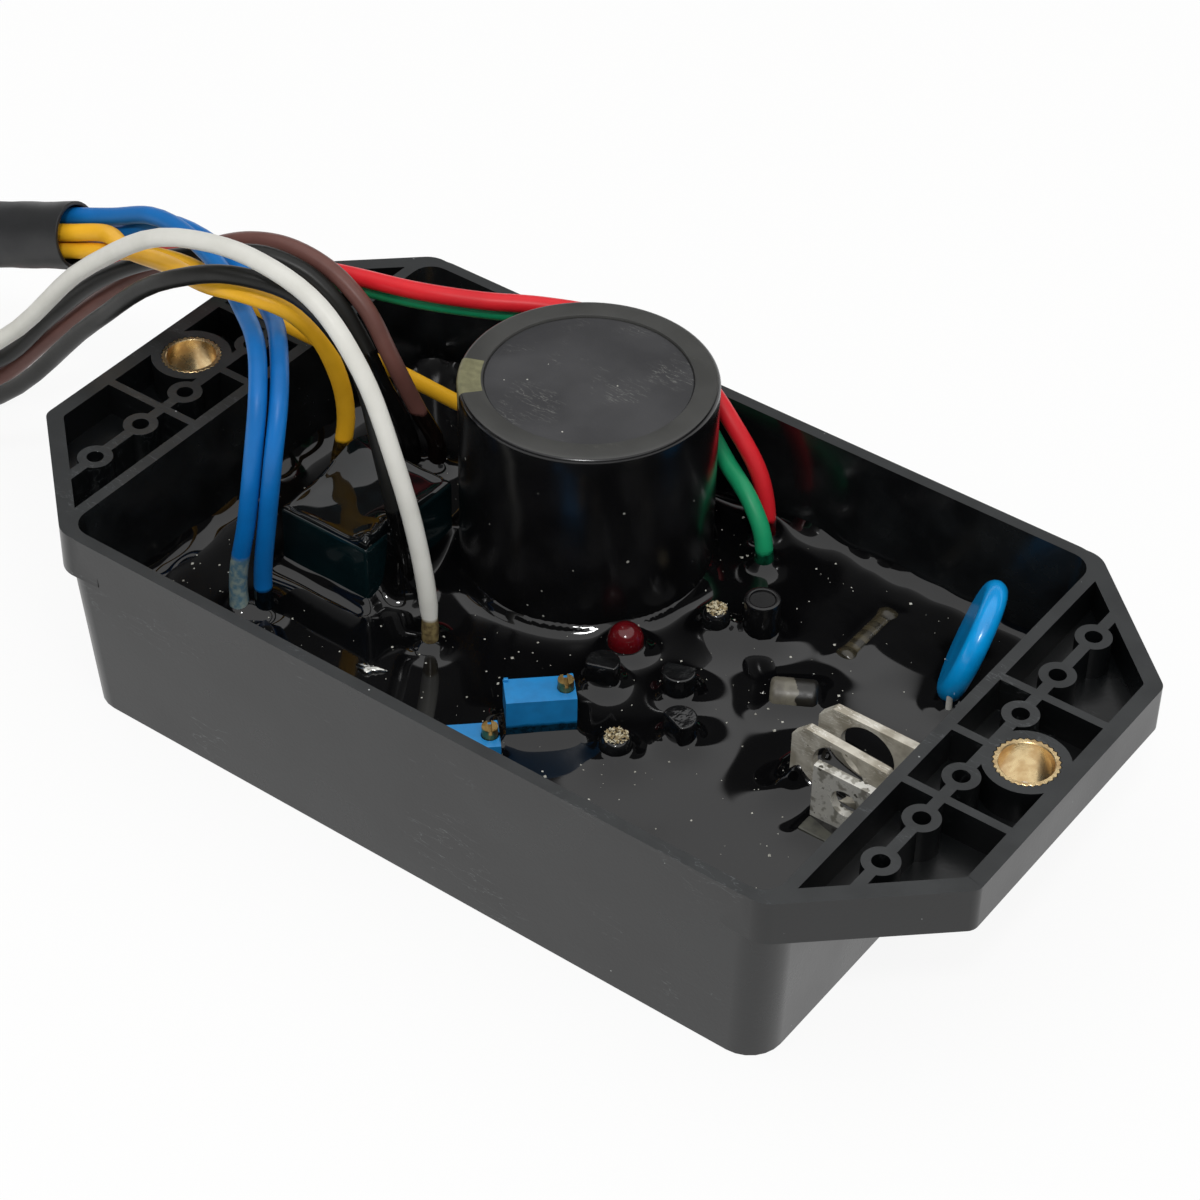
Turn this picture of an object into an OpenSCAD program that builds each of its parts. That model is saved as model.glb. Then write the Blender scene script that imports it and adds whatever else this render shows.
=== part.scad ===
// Potted automatic voltage regulator in an open tray with two ribbed mounting ears.
// Millimetres, +Z up, origin at the middle of the tray's underside, +X towards the ear beside the power tabs.

/* [Case] */
// Length of the case over both ears
case_length = 154; // [146:0.5:164]
// Width of the tray at its rim
tray_width = 81.5; // [78:0.5:90]
// Height of the case
case_height = 31; // [29:0.5:36]
// Thickness of the tray walls
wall = 1.8; // [1.4:0.1:2.2]
// Thickness of the tray floor
floor_t = 2; // [1.5:0.1:2.5]
// How much each side closes in from rim to floor
draft = 1.8; // [1.2:0.1:2.2]
// Radius of the upright tray corners
corner_r = 5; // [4:0.5:7]

/* [Ears] */
// Height of the ears
ear_height = 7; // [6:0.5:9]
// Thickness of the ear floor
ear_floor = 1.8; // [1.2:0.1:2.4]
// Thickness of the outer ear walls
ear_wall = 2.4; // [1.8:0.1:2.8]
// Width of an ear at its outer end
ear_end_width = 45.7; // [42:0.1:50]
// Reach of an ear beyond the tray end
ear_length = 17.7; // [17.2:0.1:19]
// Distance from a mounting bore to the ear end
ear_end = 7; // [6.6:0.1:7.5]
// Radius where an ear meets the tray's long side
shoulder_r = 4; // [2:0.5:5]
// Radius of the outer ear corners
ear_corner_r = 2; // [1:0.5:4]
// Radius of the pocket corners
pocket_r = 1; // [0.5:0.1:1.5]
// Thickness of the cross ribs
rib_t = 1.3; // [1:0.1:1.6]
// Thickness of the rib along the boss row
row_rib_t = 1.6; // [1.4:0.1:1.8]
// Diameter of the small bosses
boss_d = 5; // [4.4:0.1:5.6]
// Diameter of the pilot holes in the small bosses
boss_hole_d = 2.4; // [2:0.1:2.8]
// Depth of the pilot holes
boss_hole_depth = 4.5; // [3:0.1:5]
// Distance of the boss row from the tray end
boss_row = 5.5; // [5.2:0.1:6]
// Distance of the first boss from the middle of the ear
boss_first = 7.2; // [6.8:0.1:8]
// Spacing of the bosses
boss_pitch = 9.3; // [8.6:0.1:9.6]
// Diameter of the boss round a mounting insert
insert_boss_d = 11.6; // [11:0.1:12.4]

/* [Mounting inserts] */
// Diameter over the knurl
insert_d = 9; // [8.4:0.1:9.6]
// Diameter of the mounting bore
insert_bore = 7.2; // [6.4:0.1:7.4]
// Depth of the knurl
knurl_depth = 0.3; // [0.2:0.05:0.4]
// Number of teeth round the knurl
knurl_count = 30; // [20:1:36]

/* [Board and resin] */
// Thickness of the circuit board
board_t = 1.6; // [1.2:0.1:2]
// Height of the board's underside over the case bottom
board_z = 7.4; // [6.8:0.1:7.8]
// Gap between the board edge and the tray wall
board_gap = 1; // [0.6:0.1:1.5]
// Diameter of the board posts
post_d = 6; // [4:0.1:7]
// Height of the resin surface over the case bottom
resin_level = 14; // [13.4:0.1:14.6]

/* [Capacitor] */
// Diameter of the sleeved can
cap_d = 36.2; // [34:0.1:36.6]
// Height of the can over the board
cap_height = 36; // [30:0.5:42]
// Radius of the can's top edge
cap_edge_r = 1.2; // [0.8:0.1:1.8]
// Diameter of the round end plate
cap_disc_d = 29; // [27:0.1:31]
// Depth of the end plate below the sleeve's lip
cap_recess = 0.4; // [0.2:0.1:0.8]
// Thickness of the end plate
cap_disc_t = 0.8; // [0.6:0.1:1.2]

/* [Trimmers] */
// Length of a trimmer body
trim_l = 9.5; // [9:0.1:10]
// Width of a trimmer body
trim_w = 4.8; // [4.4:0.1:5.2]
// Height of a trimmer body
trim_h = 10; // [9.4:0.1:11]
// Height of a trimmer over the board
trim_raise = 2.4; // [2:0.1:3]
// Turn of the trimmers against the long side
trim_turn = 43; // [38:1:48]
// Diameter of the adjusting screw
screw_d = 2.2; // [2:0.05:2.4]
// Clearance round the adjusting screw
screw_clear = 0.05; // [0.02:0.01:0.09]
// Height of the screw head over the body
screw_rise = 1.5; // [1:0.1:2]
// Depth of the screw in the body
screw_depth = 5; // [4:0.1:6]
// Width of the screwdriver slot
slot_w = 0.5; // [0.4:0.05:0.7]
// Depth of the screwdriver slot
slot_depth = 0.7; // [0.5:0.1:0.9]

/* [Indicator lamp] */
// Diameter of the lamp
led_d = 5; // [4.6:0.1:5.2]
// Diameter of the lamp's flange
led_flange_d = 5.8; // [5.4:0.1:5.9]
// Height of the lamp
led_h = 8.6; // [8:0.1:9.4]
// Height of the lamp's flange over the board
led_raise = 1; // [0.5:0.1:1.5]

/* [Relay] */
// Length of the relay across the tray
relay_l = 19.2; // [18:0.1:19.6]
// Width of the relay along the tray
relay_w = 15.5; // [14.5:0.1:15.8]
// Height of the relay over the board
relay_h = 15.5; // [14:0.1:17]

/* [Small parts] */
// Diameter of a transistor body
transistor_d = 4.8; // [4.4:0.1:5.2]
// Height of a transistor body
transistor_h = 5.2; // [4.6:0.1:5.6]
// Height of a transistor over the board
transistor_raise = 4.4; // [3.8:0.1:4.8]
// Diameter of the wide small can
can_wide_d = 4.6; // [4.2:0.1:5.2]
// Diameter of the narrow small can
can_narrow_d = 4; // [3.6:0.1:4.4]
// Height of the small cans over the board
can_h = 8.4; // [7:0.1:9.4]
// Diameter of the small electrolytic
electrolytic_d = 5.2; // [4.8:0.1:5.8]
// Height of the small electrolytic over the board
electrolytic_h = 12; // [10:0.1:13]
// Diameter of the power resistor
resistor_d = 4.4; // [4:0.1:4.6]
// Length of the power resistor
resistor_l = 13; // [11:0.1:14]
// Diameter of the power diode
diode_d = 4.8; // [4.4:0.1:5]
// Length of the power diode
diode_l = 6.6; // [6:0.1:7.4]
// Thickness of the square component pins
pin_t = 0.6; // [0.5:0.05:0.7]
// Length of the pins below the board
pin_tail = 1.2; // [0.8:0.1:1.6]
// Spacing of the pins
pin_pitch = 2.54; // [2.2:0.02:2.8]

/* [Surge disc] */
// Diameter of the coated disc
disc_d = 18; // [16:0.1:18.6]
// Thickness of the coated disc
disc_t = 3.3; // [3:0.1:4]
// Diameter of the disc's leads
disc_lead_d = 0.9; // [0.7:0.05:1]

/* [Power devices] */
// Width of the large tabs
tab_w = 15.4; // [14.6:0.1:15.8]
// Height of the large tabs over their bodies
tab_h = 12; // [11:0.1:13]
// Thickness of the tabs
tab_t = 1.4; // [1.2:0.1:1.8]
// Diameter of the hole in the large tabs
tab_hole_d = 8.4; // [7.6:0.1:9]
// Width of the small tab
small_tab_w = 10; // [9.4:0.1:10.4]
// Height of the small tab over its body
small_tab_h = 9; // [8.4:0.1:10]
// Diameter of the hole in the small tab
small_tab_hole_d = 4; // [3.4:0.1:4.4]
// Thickness of the moulded device bodies
device_t = 4.2; // [3.8:0.1:4.4]
// Height of the large device bodies
device_h = 4; // [3.4:0.1:4.4]
// Height of the small device body
small_device_h = 5.8; // [5.4:0.1:6.4]
// Clearance between the large tabs and the tray end
tab_clear = 0.8; // [0.6:0.1:1.2]

/* [Leads] */
// Diameter of the leads
lead_d = 2.6; // [2.2:0.1:2.6]
// Diameter of the thin yellow lead
thin_lead_d = 2.4; // [1.8:0.1:2.4]
// Length of the black sleeve
sleeve_l = 45; // [35:1:50]
// Bore of the black sleeve
sleeve_bore_d = 8.7; // [8.6:0.1:9.2]
// Wall thickness of the black sleeve
sleeve_wall = 0.6; // [0.4:0.1:0.9]

/* [Connectors] */
// Length of a connector housing
plug_l = 22; // [18:1:26]
// Spacing of the ways in a connector
plug_pitch = 4.2; // [3.9:0.1:4.8]
// Margin round the ways of a connector
plug_margin = 1.1; // [0.9:0.1:1.6]
// Width of a terminal cavity
cavity_w = 3.2; // [2.8:0.1:3.4]
// Depth of a terminal cavity
cavity_depth = 16; // [12:1:17]
// Wall thickness of a terminal
terminal_t = 0.4; // [0.3:0.05:0.5]

/* [Hidden] */
$fn = 48;
half_l = case_length / 2 - ear_length;
half_w = tray_width / 2;
end_x = case_length / 2;
bore_x = end_x - ear_end;
end_y = ear_end_width / 2;
shoulder_x = half_l - 0.38 * corner_r;
ear_z = case_height - ear_height;
board_top = board_z + board_t;
cap_r = cap_d / 2;
cap_at = [-0.174 * half_l, 0.383 * half_w];
right_x = half_l - wall - draft / 2;
far_y = half_w - wall - draft / 2;
trim_z = board_top + trim_raise;
trim_at = [[cap_at[0] + 0.95 * cap_r, -0.442 * half_w], [cap_at[0] + 0.815 * cap_r, -0.768 * half_w]];
screw_u = trim_l / 2 - screw_d / 2 - 4 * screw_clear;
lamp_at = cap_at + cap_r * [0.934, -0.757];
relay_at = cap_at + cap_r * [-1.348, -1.05];
relay_left = relay_at[0] - relay_w / 2;
relay_right = relay_at[0] + relay_w / 2;
transistor_at = [for (t = [[1.032, -1.186], [1.548, -0.925], [1.845, -1.337]]) cap_at + cap_r * t];
transistor_turn = [200, 20, 160];
can_wide_at = cap_at + cap_r * [1.558, -1.735];
can_narrow_at = cap_at + cap_r * [1.359, -0.166];
electrolytic_at = cap_at + cap_r * [1.663, 0];
resistor_at = [right_x - 1.405 * disc_d, far_y - resistor_l];
resistor_z = resin_level - 0.32 * resistor_d;
diode_at = [right_x - 1.69 * tab_w, 0.191 * half_w];
diode_turn = 30;
diode_z = resin_level + 0.125 * diode_d;
disc_at = [right_x - 0.522 * disc_d, far_y - 0.678 * disc_d, resin_level + 0.372 * disc_d];
disc_turn = 199.6;
disc_tilt = 72.5;
disc_leads_at = [for (t = [[0.09, -0.433], [-0.122, -0.072]]) [disc_at[0], disc_at[1]] + disc_d * t];
disc_lead_top = [disc_at[2], resin_level];
tab_x = [for (c = [1.4, 2.4]) right_x - tab_w / 2 - c * tab_clear];
tab_y = [-tab_t / 2, -1.5 * tab_t - device_t];
tab_turn = [0, -3.5];
small_tab_x = right_x - small_tab_w / 2 - 1.6 * tab_clear;
small_tab_y = tab_y[1] - 0.88 * device_t;
device_z = board_top + board_gap / 2;
resin_top = resin_level;

in_step = lead_d / 2 + 0.06;
sleeve_in = sleeve_bore_d / 2;
sleeve_out = sleeve_in + sleeve_wall;
sleeve_at = [-91.6, 0.6, 42.3];
sleeve_dir = [-0.94, -0.19, -0.28] / norm([-0.94, -0.19, -0.28]);
sleeve_side = cross([0, 0, 1], sleeve_dir) / norm(cross([0, 0, 1], sleeve_dir));
sleeve_up = cross(sleeve_dir, sleeve_side);

plug_four_at = [-178, 5];
plug_six_at = [-150, -22];
plug_h = 2 * plug_pitch + 2 * plug_margin;

function in_x(z) = half_l - draft * (1 - z / case_height) - wall;
function in_y(z) = half_w - draft * (1 - z / case_height) - wall;
function unit(v) = v / norm(v);

// Place of a way on the rear face of a connector, row 0 at the bottom
function way(at, cols, c, row) =
    [at[0], at[1] + (c - (cols - 1) / 2) * plug_pitch, plug_margin + (row + 0.5) * plug_pitch];

// Place in the sleeve, s along it and a, b across it in lead steps
function in_sleeve(s, a, b) =
    sleeve_at + s * sleeve_dir + a * in_step * sleeve_side + b * in_step * sleeve_up;

// Route of a lead that runs through the sleeve to a way of the four-way connector
function sleeved(start, a, b, c, row) = concat(
    start,
    [in_sleeve(-6, a, b), in_sleeve(0, a, b), in_sleeve(sleeve_l / 2, a, b), in_sleeve(sleeve_l, a, b)],
    [in_sleeve(sleeve_l + 6, a, b)],
    [way(plug_four_at, 2, c, row) + [24, -6, 10]],
    [way(plug_four_at, 2, c, row) + [8, 0, 0], way(plug_four_at, 2, c, row)]);

// Route of a lead that runs loose to a way of the six-way connector
function loose(start, c, row) = concat(
    start,
    [way(plug_six_at, 3, c, row) + [18, 3, 0.4], way(plug_six_at, 3, c, row) + [8, 0, 0]],
    [way(plug_six_at, 3, c, row)]);

blue_left_route = sleeved([
    [-41, -24, resin_top], [-41, -24, resin_top + 5], [-39, -23.5, 31], [-38.5, -22, 41], [-40.3, -18.4, 48],
    [-44.9, -13, 50.4], [-54.3, -5.4, 49.4], [-66.2, 1.1, 49.7], [-79.9, 4.1, 48.8]], -1.3, 1.6, 1, 1);
blue_right_route = sleeved([
    [-38.2, -22, resin_top], [-38.2, -22, resin_top + 5], [-36.6, -22, 31.3], [-36, -20.8, 41],
    [-38.2, -16.5, 47.7], [-43.3, -10.4, 49.6], [-52.4, -1.9, 47.6], [-66.5, 4.6, 47.9],
    [-81.4, 5.8, 46]], -1.75, -0.75, 1, 0);
yellow_route = sleeved([
    [relay_left - 2.2, 2, resin_top], [relay_left - 2.2, 2, resin_top + 6], [-43.2, 2.6, 30.5],
    [-42.5, 0, 41.2], [-43.2, -3.1, 48.7], [-45.8, -6.1, 53.4], [-50.9, -8.4, 54.9], [-57.4, -8.2, 53.4],
    [-67.7, -5.4, 50.8], [-78.9, -2.5, 47.2]], 0.75, 0.8, 0, 1);
yellow_thin_route = sleeved([
    [-38.2, 29.1, resin_top], [-38.2, 29.1, resin_top + 2.4], [-42, 25.7, 19.9], [-46.6, 21.5, 24.4],
    [-50.3, 17.5, 28.5], [-52.9, 13, 32.2], [-56.1, 8.2, 36.7], [-60.5, 5.3, 40.2], [-66.4, 3.9, 42.8],
    [-72.6, 3.3, 43.9], [-79.8, 2.3, 43.2]], 1.1, -1.2, 0, 0);
white_route = loose([
    [-15.5, -13.5, resin_top], [-15.5, -13.5, resin_top + 5], [-17.8, -12.8, 30.3], [-21.9, -12.3, 42.5],
    [-28.1, -11.2, 53.9], [-35.4, -10.4, 60.6], [-47.9, -9.9, 63.1], [-61.1, -10, 60.7], [-79.7, -8.6, 47.5],
    [-101.5, -8, 24], [-118, -13, 12]], 1, 1);
black_near_route = loose([
    [relay_right + 1.9, -7.3, resin_top], [relay_right + 1.9, -7.3, resin_top + 6], [-25.5, -7.9, 26.9],
    [-27.8, -7.6, 36.5], [-34.7, -5.9, 51], [-42.7, -6.7, 57.2], [-51.7, -9.8, 58.5], [-61.1, -11.5, 54.7],
    [-77.3, -11.3, 40.2], [-96, -14, 20], [-114, -19, 10]], 0, 1);
black_far_route = loose([
    [-42.2, 15.6, resin_top], [-42.2, 15.6, resin_top + 4], [-44.1, 15, 23.5], [-46.2, 14.1, 28.4],
    [-49.1, 13.5, 34.8], [-53.2, 13.1, 40.2], [-57.8, 12.4, 43.5], [-64, 10.4, 45.3], [-71.8, 7.9, 43.3],
    [-77.8, 6.4, 41.2], [-84.8, 5.6, 37.4], [-92, 4.2, 32.2], [-100.3, 1.4, 23.4], [-108.7, -1.9, 13.7],
    [-121, -7, 9]], 2, 1);
brown_route = loose([
    [-39.6, 18.2, resin_top], [-39.6, 18.2, resin_top + 4], [-42.3, 17.5, 23.1], [-45, 15, 32.9],
    [-49.9, 15.2, 39.8], [-56.5, 15.3, 43.5], [-63.1, 14.7, 44.7], [-69.7, 13.9, 43.5], [-75, 12.8, 41.1],
    [-79.7, 11.3, 38.1], [-84.8, 9.2, 34.7], [-93.9, 6, 26.9], [-102.1, 2.7, 18.1], [-109.9, -1.4, 9.3],
    [-121, -13, 4]], 0, 0);
red_route = loose([
    [8.5, 33.5, resin_top], [8.5, 33.5, resin_top + 4], [6.8, 33.7, 24.5], [1.5, 34.2, 31], [-6, 35.5, 36],
    [-14, 36, 38.3], [-21.8, 33.3, 40.2], [-28.4, 28.9, 41.5], [-35.4, 24.4, 41.8], [-43.2, 20.7, 42],
    [-56.6, 18.6, 40.6], [-65, 17.1, 39.5], [-74.2, 16.1, 38.2], [-84, 14.5, 35.6], [-91.9, 12.7, 31.6],
    [-99.3, 10, 26.1], [-106.7, 6.4, 17.8], [-114, 0, 9], [-126, -12, 4]], 1, 0);
green_route = loose([
    [11.5, 28.5, resin_top], [11.5, 28.5, resin_top + 2], [10.7, 28.8, 19.5], [8, 29.8, 22.8],
    [2, 32.4, 25.4], [-6, 35.7, 29.2], [-14, 36, 33.5], [-22.1, 33.6, 37.3], [-28.9, 29.7, 38.8],
    [-36.2, 25.6, 39.2], [-44, 22, 39.3], [-57.6, 19.7, 37.9], [-66.1, 18.2, 36.8], [-75.8, 17.7, 35.1],
    [-85.7, 16.1, 32.4], [-93.8, 14.4, 28.1], [-101.4, 11.7, 22.2], [-109.1, 8.3, 13.6],
    [-116.7, 2.9, 5.4], [-128, -8, 3.6]], 2, 0);

// Rounded rectangle of half sizes x, y at height z
function ring(x, y, r, z) = [
    for (c = [[1, 1, 0], [-1, 1, 90], [-1, -1, 180], [1, -1, 270]])
        for (i = [0:6])
            [c[0] * (x - r) + r * cos(c[2] + 15 * i), c[1] * (y - r) + r * sin(c[2] + 15 * i), z]];

// Closed skin over rings of n points each
module skin(points, n) {
    last = len(points) / n - 1;
    polyhedron(points, concat(
        [[for (i = [0:n - 1]) i]],
        [[for (i = [n - 1:-1:0]) last * n + i]],
        [for (k = [0:last - 1])
            for (i = [0:n - 1])
                [k * n + i, k * n + n + i, k * n + n + (i + 1) % n, k * n + (i + 1) % n]]));
}

// Direction of the route at one of its points, weighted by the spans beside it
function heading(p, i) =
    i == 0 ? unit(p[1] - p[0])
    : i == len(p) - 1 ? unit(p[i] - p[i - 1])
    : (unit(p[i] - p[i - 1]) * norm(p[i + 1] - p[i]) + unit(p[i + 1] - p[i]) * norm(p[i] - p[i - 1]))
        / (norm(p[i + 1] - p[i]) + norm(p[i] - p[i - 1]));

// Point between a and b, leaving along u and arriving along v
function between(a, b, u, v, t) =
    a + (b - a) * t * t * (3 - 2 * t) + norm(b - a) * (u * t * (1 - t) * (1 - t) - v * t * t * (1 - t));

// Smooth curve through the route points, k steps a span
function curve(p, k) = concat(
    [for (i = [0:len(p) - 2])
        for (j = [0:k - 1])
            between(p[i], p[i + 1], heading(p, i), heading(p, i + 1), j / k)],
    [p[len(p) - 1]]);

// Round tube of eight sides along a route, with square ends
module tube(route, d) {
    p = curve(route, 3);
    last = len(p) - 1;
    t = [for (i = [0:last])
        i == 0 ? heading(route, 0)
        : i == last ? heading(route, len(route) - 1)
        : unit(p[i + 1] - p[i - 1])];
    side = [for (i = 0, s = unit(cross(t[0], [0.3, 1, 0.2])); i <= last;
        i = i + 1, s = i <= last ? unit(s - (s * t[i]) * t[i]) : s) s];
    skin([for (i = [0:last])
        for (j = [0:7])
            p[i] + d / 2 * (cos(45 * j) * side[i] + sin(45 * j) * cross(t[i], side[i]))], 8);
}

// Square pin from below the board up to a height
module pin(at, top, size = [pin_t, pin_t]) {
    bottom = board_z - pin_tail;
    translate([at[0] - size[0] / 2, at[1] - size[1] / 2, bottom])
        cube([size[0], size[1], top - bottom]);
}

module insert_outline() {
    polygon([for (i = [0:2 * knurl_count - 1])
        (insert_d / 2 - (i % 2) * knurl_depth) * [cos(180 * i / knurl_count), sin(180 * i / knurl_count)]]);
}

// Arc of radius r in place of the corner b between a and c
function fillet(a, b, c, r) =
    let (u = unit(a - b), v = unit(c - b), half = acos(u * v) / 2, m = b + unit(u + v) * r / sin(half))
    [for (i = [0:6]) m + r * unit((b + u * r / tan(half) - m) * (6 - i) + (b + v * r / tan(half) - m) * i)];

// Closed outline with its corners rounded, a radius of 0 leaves a corner sharp
function rounded(p, r) = [
    for (i = [0:len(p) - 1])
        each r[i] == 0 ? [p[i]] : fillet(p[(i + len(p) - 1) % len(p)], p[i], p[(i + 1) % len(p)], r[i])];

// Outer plan of one ear, reaching back over the tray end
module ear_plan() {
    back_x = shoulder_x - 1.5 * shoulder_r;
    polygon(rounded(
        [[back_x, half_w - draft / 6], [shoulder_x, half_w], [end_x, end_y],
            [end_x, -end_y], [shoulder_x, -half_w], [back_x, draft / 6 - half_w]],
        [0, shoulder_r, ear_corner_r, ear_corner_r, shoulder_r, 0]));
}

slope = unit([end_x - shoulder_x, end_y - half_w]);
normal = [-slope[1], slope[0]];
edge_at = [shoulder_x, half_w] - ear_wall * normal;
pocket_far = end_x - ear_wall;
function edge_y(x) = edge_at[1] + (x - edge_at[0]) * slope[1] / slope[0];

// Hollow of one ear between its ribs and bosses
module ear_pockets() {
    bosses = [for (s = [-1, 1]) for (i = [0:2]) s * (boss_first + i * boss_pitch)];
    rib_y = boss_first + boss_pitch / 2;
    row_x = half_l + boss_row;
    difference() {
        translate([0, 0, ear_z + ear_floor])
            linear_extrude(ear_height)
                polygon(rounded(
                    [[half_l, edge_y(half_l)], [pocket_far, edge_y(pocket_far)],
                        [pocket_far, -edge_y(pocket_far)], [half_l, -edge_y(half_l)]],
                    [0, pocket_r, pocket_r, 0]));
        for (y = bosses)
            translate([row_x, y, ear_z])
                cylinder(d = boss_d, h = 2 * ear_height);
        translate([bore_x, 0, ear_z])
            cylinder(d = insert_boss_d, h = 2 * ear_height);
        translate([row_x - row_rib_t / 2, -half_w, ear_z])
            cube([row_rib_t, tray_width, 2 * ear_height]);
        for (y = [-rib_y, rib_y])
            translate([half_l - 1, y - rib_t / 2, ear_z])
                cube([end_x - half_l, rib_t, 2 * ear_height]);
        translate([half_l - 1, -rib_t / 2, ear_z])
            cube([bore_x - half_l, rib_t, 2 * ear_height]);
    }
    for (y = bosses)
        translate([row_x, y, case_height - boss_hole_depth])
            cylinder(d = boss_hole_d, h = ear_height);
    translate([bore_x, 0, ear_z - 1])
        linear_extrude(ear_height + 2)
            insert_outline();
}

module posts() {
    for (x = [-0.82, 0.82], y = [-0.8, 0.8])
        translate([x * half_l, y * half_w, floor_t])
            cylinder(d = post_d, h = board_z - floor_t);
}

module case() {
    color([0.16, 0.165, 0.165]) {
        difference() {
            union() {
                skin(concat(ring(half_l - draft, half_w - draft, corner_r, 0),
                    ring(half_l, half_w, corner_r, case_height)), 28);
                for (s = [0, 180])
                    rotate(s)
                        translate([0, 0, ear_z])
                            linear_extrude(ear_height)
                                ear_plan();
            }
            skin(concat(ring(in_x(floor_t), in_y(floor_t), corner_r - wall, floor_t),
                ring(in_x(case_height + 1), in_y(case_height + 1), corner_r - wall, case_height + 1)), 28);
            for (s = [0, 180])
                rotate(s)
                    ear_pockets();
        }
        posts();
    }
}

module mount_insert(s) {
    color([0.78, 0.62, 0.38])
        translate([s * bore_x, 0, ear_z])
            rotate(s > 0 ? 0 : 180)
                difference() {
                    linear_extrude(ear_height)
                        insert_outline();
                    translate([0, 0, -1])
                        cylinder(d = insert_bore, h = ear_height + 2);
                }
}

module mount_insert_left() {
    mount_insert(-1);
}

module mount_insert_right() {
    mount_insert(1);
}

module board_shape() {
    x = in_x(board_z) - board_gap;
    y = in_y(board_z) - board_gap;
    translate([-x, -y, board_z])
        cube([2 * x, 2 * y, board_t]);
}

module circuit_board() {
    color([0.1, 0.3, 0.16])
        difference() {
            board_shape();
            all_pins();
        }
}

module potting_resin() {
    color([0.03, 0.03, 0.035])
        difference() {
            skin(concat(ring(in_x(floor_t), in_y(floor_t), corner_r - wall, floor_t),
                ring(in_x(resin_level), in_y(resin_level), corner_r - wall, resin_level)), 28);
            posts();
            board_shape();
            all_pins();
            can_shape();
            for (i = [0, 1])
                trimmer_block(i);
            lamp_shape();
            relay_shape();
            for (i = [0:2])
                transistor_shape(i);
            small_can(can_wide_at, can_wide_d, can_h + 0.8);
            small_can(can_narrow_at, can_narrow_d, can_h + 1.6);
            small_can(electrolytic_at, electrolytic_d, electrolytic_h);
            resistor_shape();
            diode_shape();
            disc_shape();
            disc_lead_shape();
            for (i = [0, 1]) {
                large_tab(i);
                large_device(i);
            }
            small_tab();
            small_device();
        }
}

module can_shape() {
    r = cap_d / 2;
    translate([cap_at[0], cap_at[1], board_top])
        rotate_extrude()
            polygon(concat([[0, 0], [r, 0]],
                [for (a = [0:22.5:90])
                    [r - cap_edge_r + cap_edge_r * cos(a), cap_height - cap_edge_r + cap_edge_r * sin(a)]],
                [[0, cap_height]]));
}

module capacitor_can() {
    color([0.05, 0.05, 0.055])
        difference() {
            can_shape();
            translate([cap_at[0], cap_at[1], board_top + cap_height - cap_recess - cap_disc_t])
                cylinder(d = cap_disc_d, h = cap_disc_t + cap_recess + 1);
        }
}

module capacitor_end_plate() {
    color([0.2, 0.2, 0.2])
        translate([cap_at[0], cap_at[1], board_top + cap_height - cap_recess - cap_disc_t])
            cylinder(d = cap_disc_d, h = cap_disc_t);
}

module trimmer_block(i) {
    translate([trim_at[i][0], trim_at[i][1], trim_z])
        rotate(trim_turn)
            translate([-trim_l / 2, -trim_w / 2, 0])
                cube([trim_l, trim_w, trim_h]);
}

module trimmer_body(i) {
    color([0.12, 0.42, 0.75])
        difference() {
            trimmer_block(i);
            translate([trim_at[i][0], trim_at[i][1], trim_z + trim_h - screw_depth])
                rotate(trim_turn)
                    translate([screw_u, 0, 0])
                        cylinder(d = screw_d + 2 * screw_clear, h = screw_depth + 1);
        }
}

module trimmer_screw(i) {
    color([0.75, 0.6, 0.35])
        translate([trim_at[i][0], trim_at[i][1], trim_z + trim_h - screw_depth])
            rotate(trim_turn)
                translate([screw_u, 0, 0])
                    difference() {
                        cylinder(d = screw_d, h = screw_depth + screw_rise);
                        translate([-slot_w / 2, -screw_d, screw_depth + screw_rise - slot_depth])
                            cube([slot_w, 2 * screw_d, slot_depth + 1]);
                    }
}

module trimmer_rear() {
    trimmer_body(0);
}

module trimmer_front() {
    trimmer_body(1);
}

module trimmer_rear_screw() {
    trimmer_screw(0);
}

module trimmer_front_screw() {
    trimmer_screw(1);
}

module trimmer_pin_shapes() {
    for (at = trim_at, u = [-pin_pitch, 0, pin_pitch])
        pin(at + u * [cos(trim_turn), sin(trim_turn)], trim_z);
}

module trimmer_pins() {
    color([0.75, 0.75, 0.72])
        trimmer_pin_shapes();
}

module lamp_shape() {
    r = led_d / 2;
    translate([lamp_at[0], lamp_at[1], board_top + led_raise])
        rotate_extrude()
            polygon(concat([[0, 0], [led_flange_d / 2, 0], [led_flange_d / 2, 1], [r, 1]],
                [for (a = [0:15:75]) [r * cos(a), led_h - r + r * sin(a)]],
                [[0, led_h]]));
}

module indicator_lamp() {
    color([0.42, 0.05, 0.09])
        lamp_shape();
}

module relay_shape() {
    translate([relay_at[0] - relay_w / 2, relay_at[1] - relay_l / 2, board_top])
        cube([relay_w, relay_l, relay_h]);
}

module relay() {
    color([0.05, 0.16, 0.2])
        relay_shape();
}

module transistor_shape(i) {
    translate([transistor_at[i][0], transistor_at[i][1], board_top + transistor_raise])
        rotate(transistor_turn[i])
            difference() {
                cylinder(d = transistor_d, h = transistor_h);
                translate([-transistor_d, 0.28 * transistor_d, -1])
                    cube([2 * transistor_d, transistor_d, transistor_h + 2]);
            }
}

module transistor(i) {
    color([0.07, 0.07, 0.07])
        transistor_shape(i);
}

module transistor_left() {
    transistor(0);
}

module transistor_middle() {
    transistor(1);
}

module transistor_right() {
    transistor(2);
}

module small_can(at, d, h) {
    translate([at[0], at[1], board_top])
        cylinder(d = d, h = h);
}

module can_wide() {
    color([0.2, 0.18, 0.14])
        small_can(can_wide_at, can_wide_d, can_h + 0.8);
}

module can_narrow() {
    color([0.2, 0.18, 0.14])
        small_can(can_narrow_at, can_narrow_d, can_h + 1.6);
}

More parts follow.
